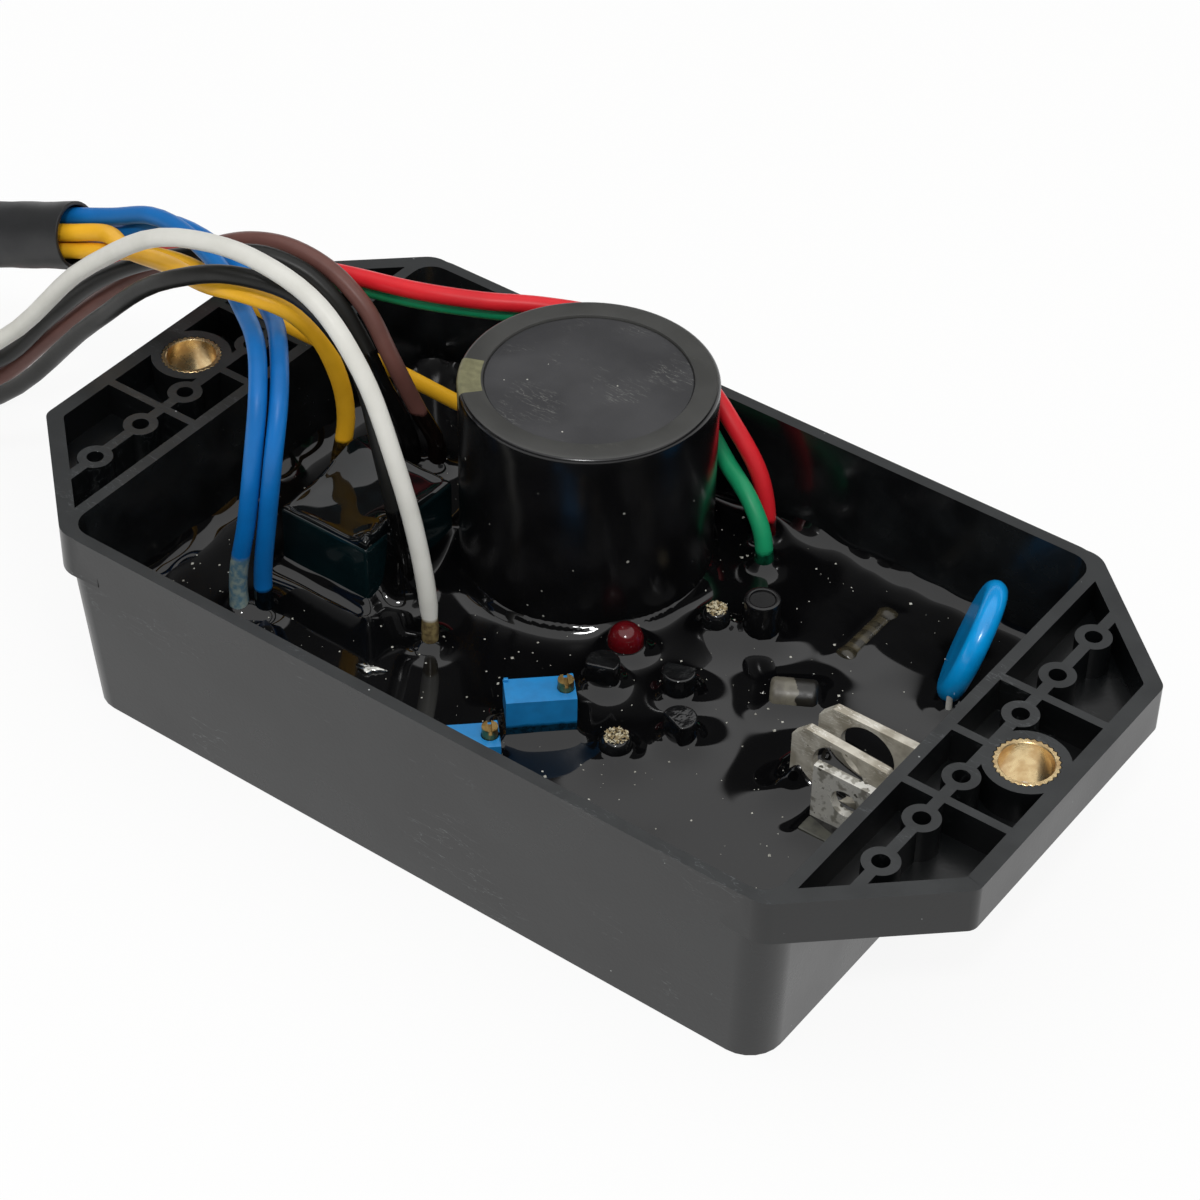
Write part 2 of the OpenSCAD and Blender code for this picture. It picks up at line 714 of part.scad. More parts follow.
module electrolytic() {
    color([0.06, 0.06, 0.07])
        small_can(electrolytic_at, electrolytic_d, electrolytic_h);
}

module resistor_shape() {
    translate([resistor_at[0], resistor_at[1] - resistor_l / 2, resistor_z])
        rotate([-90, 0, 0])
            cylinder(d = resistor_d, h = resistor_l);
}

module resistor() {
    color([0.3, 0.27, 0.2])
        resistor_shape();
}

module diode_shape() {
    translate([diode_at[0], diode_at[1], diode_z])
        rotate([0, 90, diode_turn])
            translate([0, 0, -diode_l / 2])
                cylinder(d = diode_d, h = diode_l);
}

module diode() {
    color([0.3, 0.26, 0.22])
        diode_shape();
}

module disc_shape() {
    translate(disc_at)
        rotate([0, disc_tilt, disc_turn])
            rotate_extrude() {
                translate([0, -0.46 * disc_t])
                    square([disc_d / 2 - disc_t / 2, 0.92 * disc_t]);
                translate([disc_d / 2 - disc_t / 2, 0])
                    circle(d = disc_t);
            }
}

module surge_disc() {
    color([0.12, 0.5, 0.85])
        disc_shape();
}

module disc_lead_shape() {
    for (i = [0, 1])
        translate([disc_leads_at[i][0], disc_leads_at[i][1], board_z - pin_tail])
            cylinder(d = disc_lead_d, h = disc_lead_top[i] - board_z + pin_tail);
}

module surge_disc_leads() {
    color([0.75, 0.75, 0.72])
        difference() {
            disc_lead_shape();
            disc_shape();
        }
}

module large_tab(i) {
    w = tab_w / 2;
    translate([tab_x[i], tab_y[i], device_z + device_h])
        rotate(tab_turn[i])
            rotate([90, 0, 0])
                translate([0, 0, -tab_t / 2])
                    linear_extrude(tab_t)
                        difference() {
                            polygon([[1.6 - w, 0], [w - 1.6, 0], [w, 1.6], [w, tab_h - 0.4], [w - 0.4, tab_h],
                                [2.2 - w, tab_h], [-w, tab_h - 2.2], [-w, 1.6]]);
                            translate([0, 0.58 * tab_h])
                                circle(d = tab_hole_d);
                        }
}

module tab_rear() {
    color([0.66, 0.64, 0.6])
        large_tab(0);
}

module tab_middle() {
    color([0.66, 0.64, 0.6])
        large_tab(1);
}

module small_tab() {
    w = small_tab_w / 2;
    translate([small_tab_x, small_tab_y, device_z + small_device_h])
        rotate([90, 0, 0])
            translate([0, 0, -tab_t / 2])
                linear_extrude(tab_t)
                    difference() {
                        polygon([[-w, 0], [w, 0], [w, small_tab_h], [-w, small_tab_h]]);
                        translate([0, 0.54 * small_tab_h])
                            circle(d = small_tab_hole_d);
                    }
}

module tab_front() {
    color([0.72, 0.71, 0.68])
        small_tab();
}

module large_device(i) {
    translate([tab_x[i], tab_y[i], device_z])
        rotate(tab_turn[i])
            translate([1.6 - tab_w / 2, -tab_t / 2, 0])
                cube([tab_w - 3.2, device_t, device_h]);
}

module device_rear() {
    color([0.12, 0.12, 0.11])
        large_device(0);
}

module device_middle() {
    color([0.12, 0.12, 0.11])
        large_device(1);
}

module small_device() {
    translate([small_tab_x - small_tab_w / 2, small_tab_y + tab_t / 2 - device_t, device_z])
        cube([small_tab_w, device_t, small_device_h]);
}

module device_front() {
    color([0.2, 0.2, 0.17])
        small_device();
}

module signal_pin_shapes() {
    for (u = [-0.5, 0.5])
        pin(lamp_at + [u * pin_pitch, 0], board_top + led_raise);
    for (i = [0:2], u = [-0.5, 0, 0.5])
        pin(transistor_at[i] + u * pin_pitch * [cos(transistor_turn[i]), sin(transistor_turn[i])],
            board_top + transistor_raise);
    for (at = [can_wide_at, can_narrow_at, electrolytic_at], u = [-0.4, 0.4])
        pin(at + [u * pin_pitch, 0], board_top);
    for (v = [-1, 1]) {
        pin(resistor_at + [0, v * (resistor_l + pin_t) / 2], resistor_z + pin_t);
        pin(diode_at + v * (diode_l / 2 + 1.1 * pin_t) * [cos(diode_turn), sin(diode_turn)], diode_z);
    }
}

module signal_pins() {
    color([0.75, 0.75, 0.72])
        signal_pin_shapes();
}

module power_pin_shapes() {
    for (u = [-2, 2])
        pin(cap_at + [u * pin_pitch, 0], board_top, [2.7 * pin_t, 1.3 * pin_t]);
    for (t = [[-0.39, -0.31], [0.39, -0.31], [0, 0.31], [-0.39, 0], [0.39, 0]])
        pin(relay_at + [t[0] * relay_w, t[1] * relay_l], board_top);
    for (i = [0, 1], u = [-2, 0, 2])
        pin([tab_x[i], tab_y[i] + 0.25 * device_t] + u * pin_pitch * [cos(tab_turn[i]), sin(tab_turn[i])],
            device_z, [1.7 * pin_t, pin_t]);
    for (u = [-1, 0, 1])
        pin([small_tab_x + u * pin_pitch, small_tab_y - 0.3 * device_t], device_z, [1.4 * pin_t, 0.9 * pin_t]);
}

module power_pins() {
    color([0.75, 0.75, 0.72])
        power_pin_shapes();
}

module all_pins() {
    trimmer_pin_shapes();
    signal_pin_shapes();
    power_pin_shapes();
    disc_lead_shape();
}

module lead_blue_left() {
    color([0.18, 0.47, 0.76])
        tube(blue_left_route, lead_d);
}

module lead_blue_right() {
    color([0.18, 0.47, 0.76])
        tube(blue_right_route, lead_d);
}

module lead_yellow() {
    color([0.88, 0.68, 0.18])
        tube(yellow_route, lead_d);
}

module lead_yellow_thin() {
    color([0.88, 0.68, 0.18])
        tube(yellow_thin_route, thin_lead_d);
}

module lead_white() {
    color([0.9, 0.9, 0.87])
        tube(white_route, lead_d);
}

module lead_black_near() {
    color([0.12, 0.12, 0.12])
        tube(black_near_route, lead_d);
}

module lead_black_far() {
    color([0.12, 0.12, 0.12])
        tube(black_far_route, lead_d);
}

module lead_brown() {
    color([0.32, 0.2, 0.18])
        tube(brown_route, lead_d);
}

module lead_red() {
    color([0.86, 0.13, 0.17])
        tube(red_route, lead_d);
}

module lead_green() {
    color([0.1, 0.6, 0.42])
        tube(green_route, lead_d);
}

module sleeve() {
    color([0.14, 0.14, 0.14])
        translate(sleeve_at)
            multmatrix([[sleeve_side[0], sleeve_up[0], sleeve_dir[0], 0],
                [sleeve_side[1], sleeve_up[1], sleeve_dir[1], 0],
                [sleeve_side[2], sleeve_up[2], sleeve_dir[2], 0]])
                difference() {
                    cylinder(r = sleeve_out, h = sleeve_l);
                    translate([0, 0, -1])
                        cylinder(r = sleeve_in, h = sleeve_l + 2);
                }
}

// Connector housing behind its rear face, with one cavity a way
module connector(at, cols) {
    w = cols * plug_pitch + 2 * plug_margin;
    color([0.88, 0.87, 0.82])
        difference() {
            union() {
                translate([at[0] - plug_l, at[1] - w / 2, 0])
                    cube([plug_l, w, plug_h]);
                translate([at[0] - 0.7 * plug_l, at[1] - 2, plug_h - 0.1])
                    cube([0.6 * plug_l, 4, 1.5]);
            }
            for (c = [0:cols - 1], row = [0, 1])
                translate(way(at, cols, c, row) - [plug_l + 1, cavity_w / 2, cavity_w / 2])
                    cube([cavity_depth + 1, cavity_w, cavity_w]);
        }
}

module connector_four() {
    connector(plug_four_at, 2);
}

module connector_six() {
    connector(plug_six_at, 3);
}

// Crimped sockets standing on the inner ends of the cavities
module terminals(at, cols) {
    inner = cavity_w - 0.4;
    color([0.72, 0.66, 0.5])
        for (c = [0:cols - 1], row = [0, 1])
            translate(way(at, cols, c, row) + [cavity_depth - plug_l, 0, 0])
                difference() {
                    translate([2 - cavity_depth, -inner / 2, -inner / 2])
                        cube([cavity_depth - 2, inner, inner]);
                    translate([1 - cavity_depth, terminal_t - inner / 2, terminal_t - inner / 2])
                        cube([cavity_depth - 2, inner - 2 * terminal_t, inner - 2 * terminal_t]);
                }
}

module terminals_four() {
    terminals(plug_four_at, 2);
}

module terminals_six() {
    terminals(plug_six_at, 3);
}

case();
mount_insert_left();
mount_insert_right();
circuit_board();
potting_resin();
capacitor_can();
capacitor_end_plate();
trimmer_rear();
trimmer_rear_screw();
trimmer_front();
trimmer_front_screw();
trimmer_pins();
indicator_lamp();
relay();
transistor_left();
transistor_middle();
transistor_right();
can_wide();
can_narrow();
electrolytic();
resistor();
diode();
surge_disc();
surge_disc_leads();
tab_rear();
tab_middle();
tab_front();
device_rear();
device_middle();
device_front();
signal_pins();
power_pins();
lead_blue_left();
lead_blue_right();
lead_yellow();
lead_yellow_thin();
lead_white();
lead_black_near();
lead_black_far();
lead_brown();
lead_red();
lead_green();
sleeve();
connector_four();
connector_six();
terminals_four();
terminals_six();
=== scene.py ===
"""Looks of a potted automatic voltage regulator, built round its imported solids.

Lengths in this file are millimetres in the row frame; they turn to metres where a mesh is made.
"""

import logging
import math
import random
from dataclasses import dataclass, field
from enum import Enum
from typing import Any, Callable, Iterable, Sequence

import bmesh
import bpy
import numpy as np
from mathutils import Matrix, Vector, noise


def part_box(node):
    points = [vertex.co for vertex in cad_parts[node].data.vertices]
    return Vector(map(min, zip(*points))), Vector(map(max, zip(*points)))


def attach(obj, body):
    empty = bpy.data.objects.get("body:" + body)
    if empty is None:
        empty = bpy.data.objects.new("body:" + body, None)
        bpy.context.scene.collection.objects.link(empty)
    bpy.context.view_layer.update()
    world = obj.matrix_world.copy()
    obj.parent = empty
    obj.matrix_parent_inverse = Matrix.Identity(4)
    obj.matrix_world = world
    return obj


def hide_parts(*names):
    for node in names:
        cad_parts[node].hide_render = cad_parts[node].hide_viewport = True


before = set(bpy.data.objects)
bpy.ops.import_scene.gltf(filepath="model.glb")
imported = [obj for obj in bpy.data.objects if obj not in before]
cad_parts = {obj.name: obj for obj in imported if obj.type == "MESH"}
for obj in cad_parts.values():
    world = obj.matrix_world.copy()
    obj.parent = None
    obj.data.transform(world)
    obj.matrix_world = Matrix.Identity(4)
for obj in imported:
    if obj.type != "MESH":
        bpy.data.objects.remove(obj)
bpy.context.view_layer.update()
MM = 0.001
BODY = "unit"
AXIS_MM = 1e-6  # Points of a profile that are nearer to the axis than this are on it.
GRAIN_SPAN = (0.65, 1.35)  # Corners of a grain against its mean radius.
WELD_MM = 0.0005  # Points of a new mesh that are nearer than this are one.
CAD_WELD_MM = 0.001  # The same for a copied solid, whose points are rounded.
CAD_FLAT_DEG = 0.6  # Faces of a copied solid that differ by less than this are one.
NOISE_SPAN = (0.3, 0.7)  # Values that a noise texture mostly stays between.
ASIDE = Vector((0.3, 1, 0.2))  # A direction that no lead sets out in.
Point = tuple[float, float, float]
Pair = tuple[float, float]
log = logging.getLogger("regulator")


def linear(code: str) -> tuple[float, float, float, float]:
    """Turn an sRGB hex colour to linear light.

    Args:
        code: Colour such as "#4a4c4b".

    Returns:
        Linear red, green, blue and an alpha of 1.
    """
    parts = [int(code[i:i + 2], 16) / 255 for i in (1, 3, 5)]
    return (*[c / 12.92 if c <= 0.04045 else ((c + 0.055) / 1.055) ** 2.4 for c in parts], 1.0)


def per_metre(size_mm: float) -> float:
    """Give a pattern's scale, its repeats in a metre, from its real size."""
    return 1000 / size_mm


def add_node(tree: bpy.types.NodeTree, kind: str, inputs: dict[Any, Any] | None = None,
             **settings: Any) -> bpy.types.Node:
    """Add one shader node with its settings, values and links.

    Args:
        tree: Node tree that takes the node.
        kind: Node type without the "ShaderNode" in front.
        inputs: Input name or number to a value, or to an output socket that is linked.
        settings: Attributes of the node itself.

    Returns:
        The new node.
    """
    node = tree.nodes.new("ShaderNode" + kind)
    for key, value in settings.items():
        setattr(node, key, value)
    for key, value in (inputs or {}).items():
        if isinstance(value, bpy.types.NodeSocket):
            tree.links.new(value, node.inputs[key])
        else:
            node.inputs[key].default_value = value
    return node


@dataclass(frozen=True)
class Dip:
    """Resin that a surface was dipped in, inside the tray and up to a height in the row frame."""

    level_mm: float
    colour: str
    shade: str
    roughness: float = 0.2
    ragged_mm: float = 1.5
    edge_mm: float = 2.5
    soft_mm: float = 0.6
    stain_mm: float = 0.9
    stain: Pair = (0.4, 0.6)
    tray_from_mm: float = -58.0


@dataclass(frozen=True)
class Scuff:
    """Hairlines that handling scraped into a surface."""

    colour: str
    length_mm: float = 9.0
    width: float = 0.012
    share: float = 0.5
    patch_mm: float = 14.0
    turn: Point = (0.3, 0.2, 0.5)
    drawn: Point = (1.0, 5.0, 5.0)
    bare: Pair = (0.7, 0.4)
    fade: float = 0.12


@dataclass(frozen=True)
class Finish:
    """A real material and the way its surface was made.

    A pattern is drawn at its size in millimetres: mottle is drifting colour, grain is fine
    relief, wave is broad relief, specks are small spots (grains of dust on most finishes, painted
    glints on the resin), and scuffs are hairlines. Moulded grain is finer than this in the real
    material, and is drawn coarser so that it shows.
    """

    name: str
    colour: str
    roughness: float
    shade: str | None = None
    mottle_mm: float = 5.0
    mottle: Pair = (0.4, 0.65)
    spread: float = 0.0
    metallic: float = 0.0
    ior: float = 1.5
    gloss: float = 0.5
    subsurface: float = 0.0
    grain_mm: float = 0.0
    grain_height_mm: float = 0.0
    wave_mm: float = 0.0
    wave_height_mm: float = 0.0
    speck: str | None = None
    speck_mm: float = 2.0
    speck_size: float = 0.16
    speck_share: float = 0.3
    speck_roughness: float = 0.8
    scuff: Scuff | None = None
    dip: Dip | None = None

    def material(self) -> bpy.types.Material:
        """Give the Blender material of this finish, made on first use."""
        made = bpy.data.materials.get(self.name)
        if made:
            return made
        made = bpy.data.materials.new(self.name)
        made.use_nodes = True
        made.diffuse_color = linear(self.colour)
        self._dress(made.node_tree)
        return made

    def _dress(self, tree: bpy.types.NodeTree) -> None:
        """Build the node tree.

        Args:
            tree: Node tree of the new material.
        """
        shader = tree.nodes["Principled BSDF"]
        shader.inputs["Metallic"].default_value = self.metallic
        shader.inputs["Specular IOR Level"].default_value = self.gloss
        shader.inputs["Subsurface Weight"].default_value = self.subsurface
        shader.inputs["Subsurface Scale"].default_value = MM
        shader.inputs["Roughness"].default_value = self.roughness
        shader.inputs["Base Color"].default_value = linear(self.colour)
        if not self.metallic:
            shader.inputs["IOR"].default_value = self.ior
        coords = add_node(tree, "TexCoord").outputs["Object"]
        colour, rough = self._colour(tree, coords)
        if colour:
            tree.links.new(colour, shader.inputs["Base Color"])
        if rough:
            tree.links.new(rough, shader.inputs["Roughness"])
        relief = None
        for size, height, detail in ((self.wave_mm, self.wave_height_mm, 2.0),
                                     (self.grain_mm, self.grain_height_mm, 4.0)):
            if size and height:
                bumps = add_node(tree, "TexNoise",
                                 {"Vector": coords, "Scale": per_metre(size), "Detail": detail})
                inputs = {"Height": bumps.outputs[0], "Distance": height * MM, "Strength": 1.0}
                if relief:
                    inputs["Normal"] = relief
                relief = add_node(tree, "Bump", inputs).outputs[0]
        if relief:
            tree.links.new(relief, shader.inputs["Normal"])

    def _colour(self, tree: bpy.types.NodeTree, coords: bpy.types.NodeSocket) -> tuple[Any, Any]:
        """Lay the drifting colour, wear, specks and dip over each other.

        Args:
            tree: Node tree of the material.
            coords: Socket with the point on the piece.

        Returns:
            Sockets of the colour and the roughness, each None where it is even.
        """
        colour, rough, drift = None, None, None
        if self.shade or self.spread:
            size = per_metre(self.mottle_mm)
            drift = add_node(tree, "TexNoise",
                             {"Vector": coords, "Scale": size, "Detail": 5.0}).outputs[0]
        if self.shade:
            share = add_node(tree, "MapRange",
                             {0: drift, 1: self.mottle[0], 2: self.mottle[1]}).outputs[0]
            colour = self._over(tree, None, share, self.shade)
        if self.spread:
            least = max(0.02, self.roughness - self.spread)
            most = min(1.0, self.roughness + self.spread)
            ends = {1: NOISE_SPAN[0], 2: NOISE_SPAN[1], 3: least, 4: most}
            rough = add_node(tree, "MapRange", {0: drift, **ends}).outputs[0]
        if self.scuff:
            colour = self._over(tree, colour, self._hairlines(tree, self.scuff), self.scuff.colour)
        if self.speck:
            mask = self._specks(tree, coords)
            colour = self._over(tree, colour, mask, self.speck)
            worn = {0: mask, 3: rough or self.roughness, 4: self.speck_roughness}
            rough = add_node(tree, "MapRange", worn).outputs[0]
        if self.dip:
            mask, coat = self._dipped(tree, coords, self.dip)
            colour = self._over(tree, colour, mask, coat)
            wet = {0: mask, 3: rough or self.roughness, 4: self.dip.roughness}
            rough = add_node(tree, "MapRange", wet).outputs[0]
        return colour, rough

    def _specks(self, tree: bpy.types.NodeTree,
                coords: bpy.types.NodeSocket) -> bpy.types.NodeSocket:
        """Scatter small specks: dust or stains on most finishes, painted glints on the resin.

        Args:
            tree: Node tree of the material.
            coords: Socket with the point on the piece.

        Returns:
            Socket that is 1 on a speck.
        """
        cell = add_node(tree, "TexVoronoi", {"Vector": coords, "Scale": per_metre(self.speck_mm)})
        split = add_node(tree, "SeparateColor", {0: cell.outputs["Color"]}).outputs
        reach = add_node(tree, "Math", {0: split[0], 1: self.speck_size},
                         operation="MULTIPLY").outputs[0]
        near = add_node(tree, "Math", {0: cell.outputs["Distance"], 1: reach},
                        operation="LESS_THAN").outputs[0]
        some = add_node(tree, "Math", {0: split[1], 1: self.speck_share},
                        operation="LESS_THAN").outputs[0]
        return add_node(tree, "Math", {0: near, 1: some}, operation="MULTIPLY").outputs[0]

    @staticmethod
    def _dipped(tree: bpy.types.NodeTree, coords: bpy.types.NodeSocket,
                dip: Dip) -> tuple[bpy.types.NodeSocket, bpy.types.NodeSocket]:
        """Draw the resin that a surface was dipped in, with a ragged edge and stains.

        Args:
            tree: Node tree of the material.
            coords: Socket with the point on the piece.
            dip: Height, edge and colours of the resin.

        Returns:
            Sockets of the mask, 1 where the resin is, and of its colour.
        """
        place = add_node(tree, "SeparateXYZ", {0: coords})
        edge = add_node(tree, "TexNoise",
                        {"Vector": coords, "Scale": per_metre(dip.edge_mm),
                         "Detail": 3.0}).outputs[0]
        reach = dip.ragged_mm * MM
        edge = add_node(tree, "MapRange", {0: edge, 3: -reach, 4: reach}).outputs[0]
        rise = add_node(tree, "Math", {0: place.outputs["Z"], 1: edge}, operation="ADD").outputs[0]
        level = dip.level_mm * MM
        mask = add_node(tree, "MapRange",
                        {0: rise, 1: level, 2: level - dip.soft_mm * MM}).outputs[0]
        limit = {0: place.outputs["X"], 1: dip.tray_from_mm * MM}
        inside = add_node(tree, "Math", limit, operation="GREATER_THAN").outputs[0]
        mask = add_node(tree, "Math", {0: mask, 1: inside}, operation="MULTIPLY").outputs[0]
        stain = add_node(tree, "TexNoise",
                         {"Vector": coords, "Scale": per_metre(dip.stain_mm),
                          "Detail": 4.0}).outputs[0]
        stain = add_node(tree, "MapRange", {0: stain, 1: dip.stain[0], 2: dip.stain[1]}).outputs[0]
        tones = {0: stain, 6: linear(dip.colour), 7: linear(dip.shade)}
        return mask, add_node(tree, "Mix", tones, data_type="RGBA").outputs[2]

    @staticmethod
    def _hairlines(tree: bpy.types.NodeTree, scuff: Scuff) -> bpy.types.NodeSocket:
        """Draw hairlines in patches.

        Args:
            tree: Node tree of the material.
            scuff: Length, width and share of the hairlines.

        Returns:
            Socket that is 1 on a hairline.
        """
        coords = add_node(tree, "TexCoord").outputs["Object"]
        drawn = add_node(tree, "Mapping",
                         {"Vector": coords, "Rotation": scuff.turn,
                          "Scale": scuff.drawn}).outputs[0]
        size = per_metre(scuff.length_mm)
        lines = add_node(tree, "TexNoise",
                         {"Vector": drawn, "Scale": size, "Detail": 3.0}).outputs[0]
        lines = add_node(tree, "Math", {0: lines, 1: 0.5}, operation="SUBTRACT").outputs[0]
        lines = add_node(tree, "Math", {0: lines}, operation="ABSOLUTE").outputs[0]
        lines = add_node(tree, "MapRange",
                         {0: lines, 1: 0.0, 2: scuff.width, 3: 1.0, 4: 0.0}).outputs[0]
        size = per_metre(scuff.patch_mm)
        patch = add_node(tree, "TexNoise",
                         {"Vector": coords, "Scale": size, "Detail": 6.0}).outputs[0]
        bare = scuff.bare[0] - scuff.bare[1] * scuff.share
        patch = add_node(tree, "MapRange", {0: patch, 1: bare, 2: bare + scuff.fade}).outputs[0]
        return add_node(tree, "Math", {0: lines, 1: patch}, operation="MULTIPLY").outputs[0]

    def _over(self, tree: bpy.types.NodeTree, below: Any, mask: bpy.types.NodeSocket,
              above: Any) -> bpy.types.NodeSocket:
        """Lay one colour over another.

        Args:
            tree: Node tree of the material.
            below: Socket of the colour so far, or None for the finish's own colour.
            mask: Socket that is 1 where the upper colour shows.
            above: Upper colour, a hex code or a socket.

        Returns:
            Socket of the mixed colour.
        """
        top = linear(above) if isinstance(above, str) else above
        tones = {0: mask, 6: below or linear(self.colour), 7: top}
        return add_node(tree, "Mix", tones, data_type="RGBA").outputs[2]


# Glass-filled nylon, moulded: near black with a satin sheen that takes its grey from the room,
# hairlines and dust nicks.
CASE_NYLON = Finish("nylon_moulded_black", "#0c0e0f", 0.3, shade="#0a0b0c", mottle_mm=16.0,
                    spread=0.05, ior=1.5, grain_mm=0.5, grain_height_mm=0.012, speck="#a3a6a5",
                    speck_mm=2.3, speck_size=0.075, speck_share=0.3,
                    scuff=Scuff("#4b4e4f", 10.0, 0.006, 0.42))
# The same nylon on the upward faces of rims and ribs: painted paler, as light from above falls on
# them; duller, with hairlines that handling rubbed in.
CASE_TOP_LIT = Finish("nylon_painted_toplight_grey", "#2c2e2f", 0.4, shade="#242627", mottle_mm=6.0,
                     spread=0.06, ior=1.5, grain_mm=0.5, grain_height_mm=0.012, speck="#a3a6a5",
                     speck_mm=1.9, speck_size=0.08, speck_share=0.3,
                     scuff=Scuff("#55585a", 6.0, 0.008, 0.45))
# The same nylon on the inside, wet with resin when it was filled: black, glossy and uneven.
CASE_WET = Finish("nylon_wetted_by_resin", "#0f1011", 0.2, shade="#17191a", mottle_mm=7.0,
                  spread=0.1, ior=1.53, wave_mm=6.0, wave_height_mm=0.04, speck="#6a6c6b",
                  speck_mm=2.8, speck_size=0.06, speck_share=0.25)
# Poured epoxy: black and mirror-glossy, with pale specks that are painted glints of small bubbles.
RESIN_EPOXY = Finish("epoxy_poured_black", "#060607", 0.045, shade="#0a0a0b", mottle_mm=14.0,
                     spread=0.02, ior=1.5, speck="#a9a9a1", speck_mm=1.9, speck_size=0.085,
                     speck_share=0.12)
# Thin resin film drawn over the relay: black, glossy, faintly teal where it thins.
RESIN_FILM = Finish("epoxy_film_black", "#08090a", 0.05, shade="#0d1214", mottle_mm=4.0, ior=1.5)
# Shrunk PVC sleeve on the capacitor: black, glossy, with slow shrink waves and pale specks.
CAP_SLEEVE = Finish("pvc_shrink_sleeve_black", "#0b0b0c", 0.22, shade="#111112", mottle_mm=8.0,
                    spread=0.05, ior=1.52, wave_mm=9.0, wave_height_mm=0.015, speck="#a2a29a",
                    speck_mm=2.2, speck_size=0.095, speck_share=0.32)
# The sleeve where it is folded over the can's edge: stretched, so duller; its paler grey is painted
# light on the upward fold.
CAP_FOLD_LIT = Finish("pvc_shrink_fold_painted_lit", "#363634", 0.4, shade="#3c3c3a", mottle_mm=6.0,
                 spread=0.06, ior=1.52, scuff=Scuff("#55554f", 5.0, 0.008, 0.35, 8.0))
# Fibre end plate: satin charcoal, rubbed pale in patches.
CAP_PLATE = Finish("fibre_plate_satin", "#343436", 0.4, shade="#3c3c3e", mottle_mm=9.0, spread=0.08,
                   ior=1.5, grain_mm=0.5, grain_height_mm=0.02, speck="#c9c8c0", speck_mm=2.1,
                   speck_size=0.06, speck_share=0.2, scuff=Scuff("#6f6f6c", 3.2, 0.02, 0.46, 7.0))
# Pale patch of the polarity stripe where it folds over the can's edge.
CAP_MARK = Finish("ink_printed_olive", "#7c7a5a", 0.4, shade="#6a684c", mottle_mm=1.2)
# Machined brass: warm, satin, with fine turning marks.
BRASS_TURNED = Finish("brass_turned", "#e6cd9d", 0.28, shade="#d0b080", mottle_mm=1.6, spread=0.08,
                      metallic=1.0, grain_mm=0.35, grain_height_mm=0.012)
# Brass of the small screws, dulled by handling.
BRASS_DULL = Finish("brass_plated_screw", "#b4965f", 0.34, shade="#86693c", mottle_mm=0.7,
                    spread=0.1, metallic=1.0)
# Moulded polyester of the trimmers: clear bright blue, semi-gloss, dark teal where resin wetted it.
TRIMMER_BLUE = Finish("polyester_moulded_blue", "#1b82c2", 0.34, shade="#1877b4", mottle_mm=2.5,
                      spread=0.06, ior=1.55, grain_mm=0.3, grain_height_mm=0.008,
                      dip=Dip(17.6, "#0c2f42", "#081c28", 0.08, 0.4))
# Cast epoxy of the lamp, under a film of resin: deep wine red and glossy.
LAMP_EPOXY = Finish("epoxy_cast_red", "#5c0a11", 0.14, shade="#4a070d", mottle_mm=3.0, ior=1.53,
                    wave_mm=1.8, wave_height_mm=0.025)
# Moulded PBT of the relay: dark teal, glossy through its film of resin.
RELAY_PBT = Finish("pbt_moulded_teal", "#0a1d20", 0.1, shade="#081619", mottle_mm=9.0, spread=0.02,
                   ior=1.55, grain_mm=0.6, grain_height_mm=0.004)
# Moulded epoxy of transistors, wet with resin: black and glossy.
DEVICE_EPOXY = Finish("epoxy_moulded_black", "#0c0c0d", 0.1, shade="#131415", mottle_mm=2.0,
                      spread=0.05, ior=1.55, wave_mm=1.4, wave_height_mm=0.07)
# Moulding of the front power device: grey-brown, matt where the resin did not reach.
DEVICE_GREY = Finish("epoxy_moulded_grey", "#4a4a42", 0.4, shade="#2b2b27", mottle_mm=1.6,
                     spread=0.1, ior=1.55)
# Cracked coating on the small cans: tan, straw and grey grains.
CAN_GRAINS = Finish("coating_cracked_tan", "#94825c", 0.45, shade="#d2c9ad", mottle_mm=0.6,
                    mottle=(0.46, 0.54), speck="#3e3220", speck_mm=0.45, speck_size=0.6,
                    speck_share=0.5)
# Cement coat of the resistor under resin: dark olive brown with lighter bands.
RESISTOR_COAT = Finish("cement_coat_brown", "#221f17", 0.22, shade="#3a3528", mottle_mm=2.2,
                       spread=0.06, grain_mm=0.5, grain_height_mm=0.012)
# Painted bands of the resistor under the same film.
RESISTOR_BAND = Finish("paint_band_olive", "#453f2f", 0.24, shade="#332e22", mottle_mm=1.2,
                       spread=0.06)
# Moulded diode: dull grey tan where the resin left it bare.
DIODE_BODY = Finish("epoxy_moulded_tan", "#6b675b", 0.42, shade="#4f4b42", mottle_mm=1.8,
                    spread=0.08, ior=1.55, grain_mm=0.5, grain_height_mm=0.015)
# The diode's other end, stained dark by the resin.
DIODE_DARK = Finish("epoxy_moulded_stained", "#1d1b17", 0.38, shade="#12110e", mottle_mm=1.4,
                    spread=0.1, ior=1.55, grain_mm=0.5, grain_height_mm=0.015)
# Dipped epoxy of the surge disc: sky blue, satin, with the slight sags of a dip coat.
DISC_EPOXY = Finish("epoxy_dipped_blue", "#079fe9", 0.22, shade="#0590d8", mottle_mm=4.0,
                    spread=0.06, ior=1.55, wave_mm=4.0, wave_height_mm=0.08, grain_mm=0.5,
                    grain_height_mm=0.008)
# Tinned copper of the large tabs: dull oxidised tin, so half metal and half pale skin, with
# scratches and flux stains.
TAB_TIN = Finish("copper_tinned_dull", "#d6d1c3", 0.44, shade="#a9a292", mottle_mm=3.0,
                 mottle=(0.42, 0.62), spread=0.12, metallic=0.35, grain_mm=0.5,
                 grain_height_mm=0.02, speck="#6d6454", speck_mm=1.2, speck_size=0.2,
                 speck_share=0.3, scuff=Scuff("#f4f1e9", 3.0, 0.02, 0.65, 5.0))
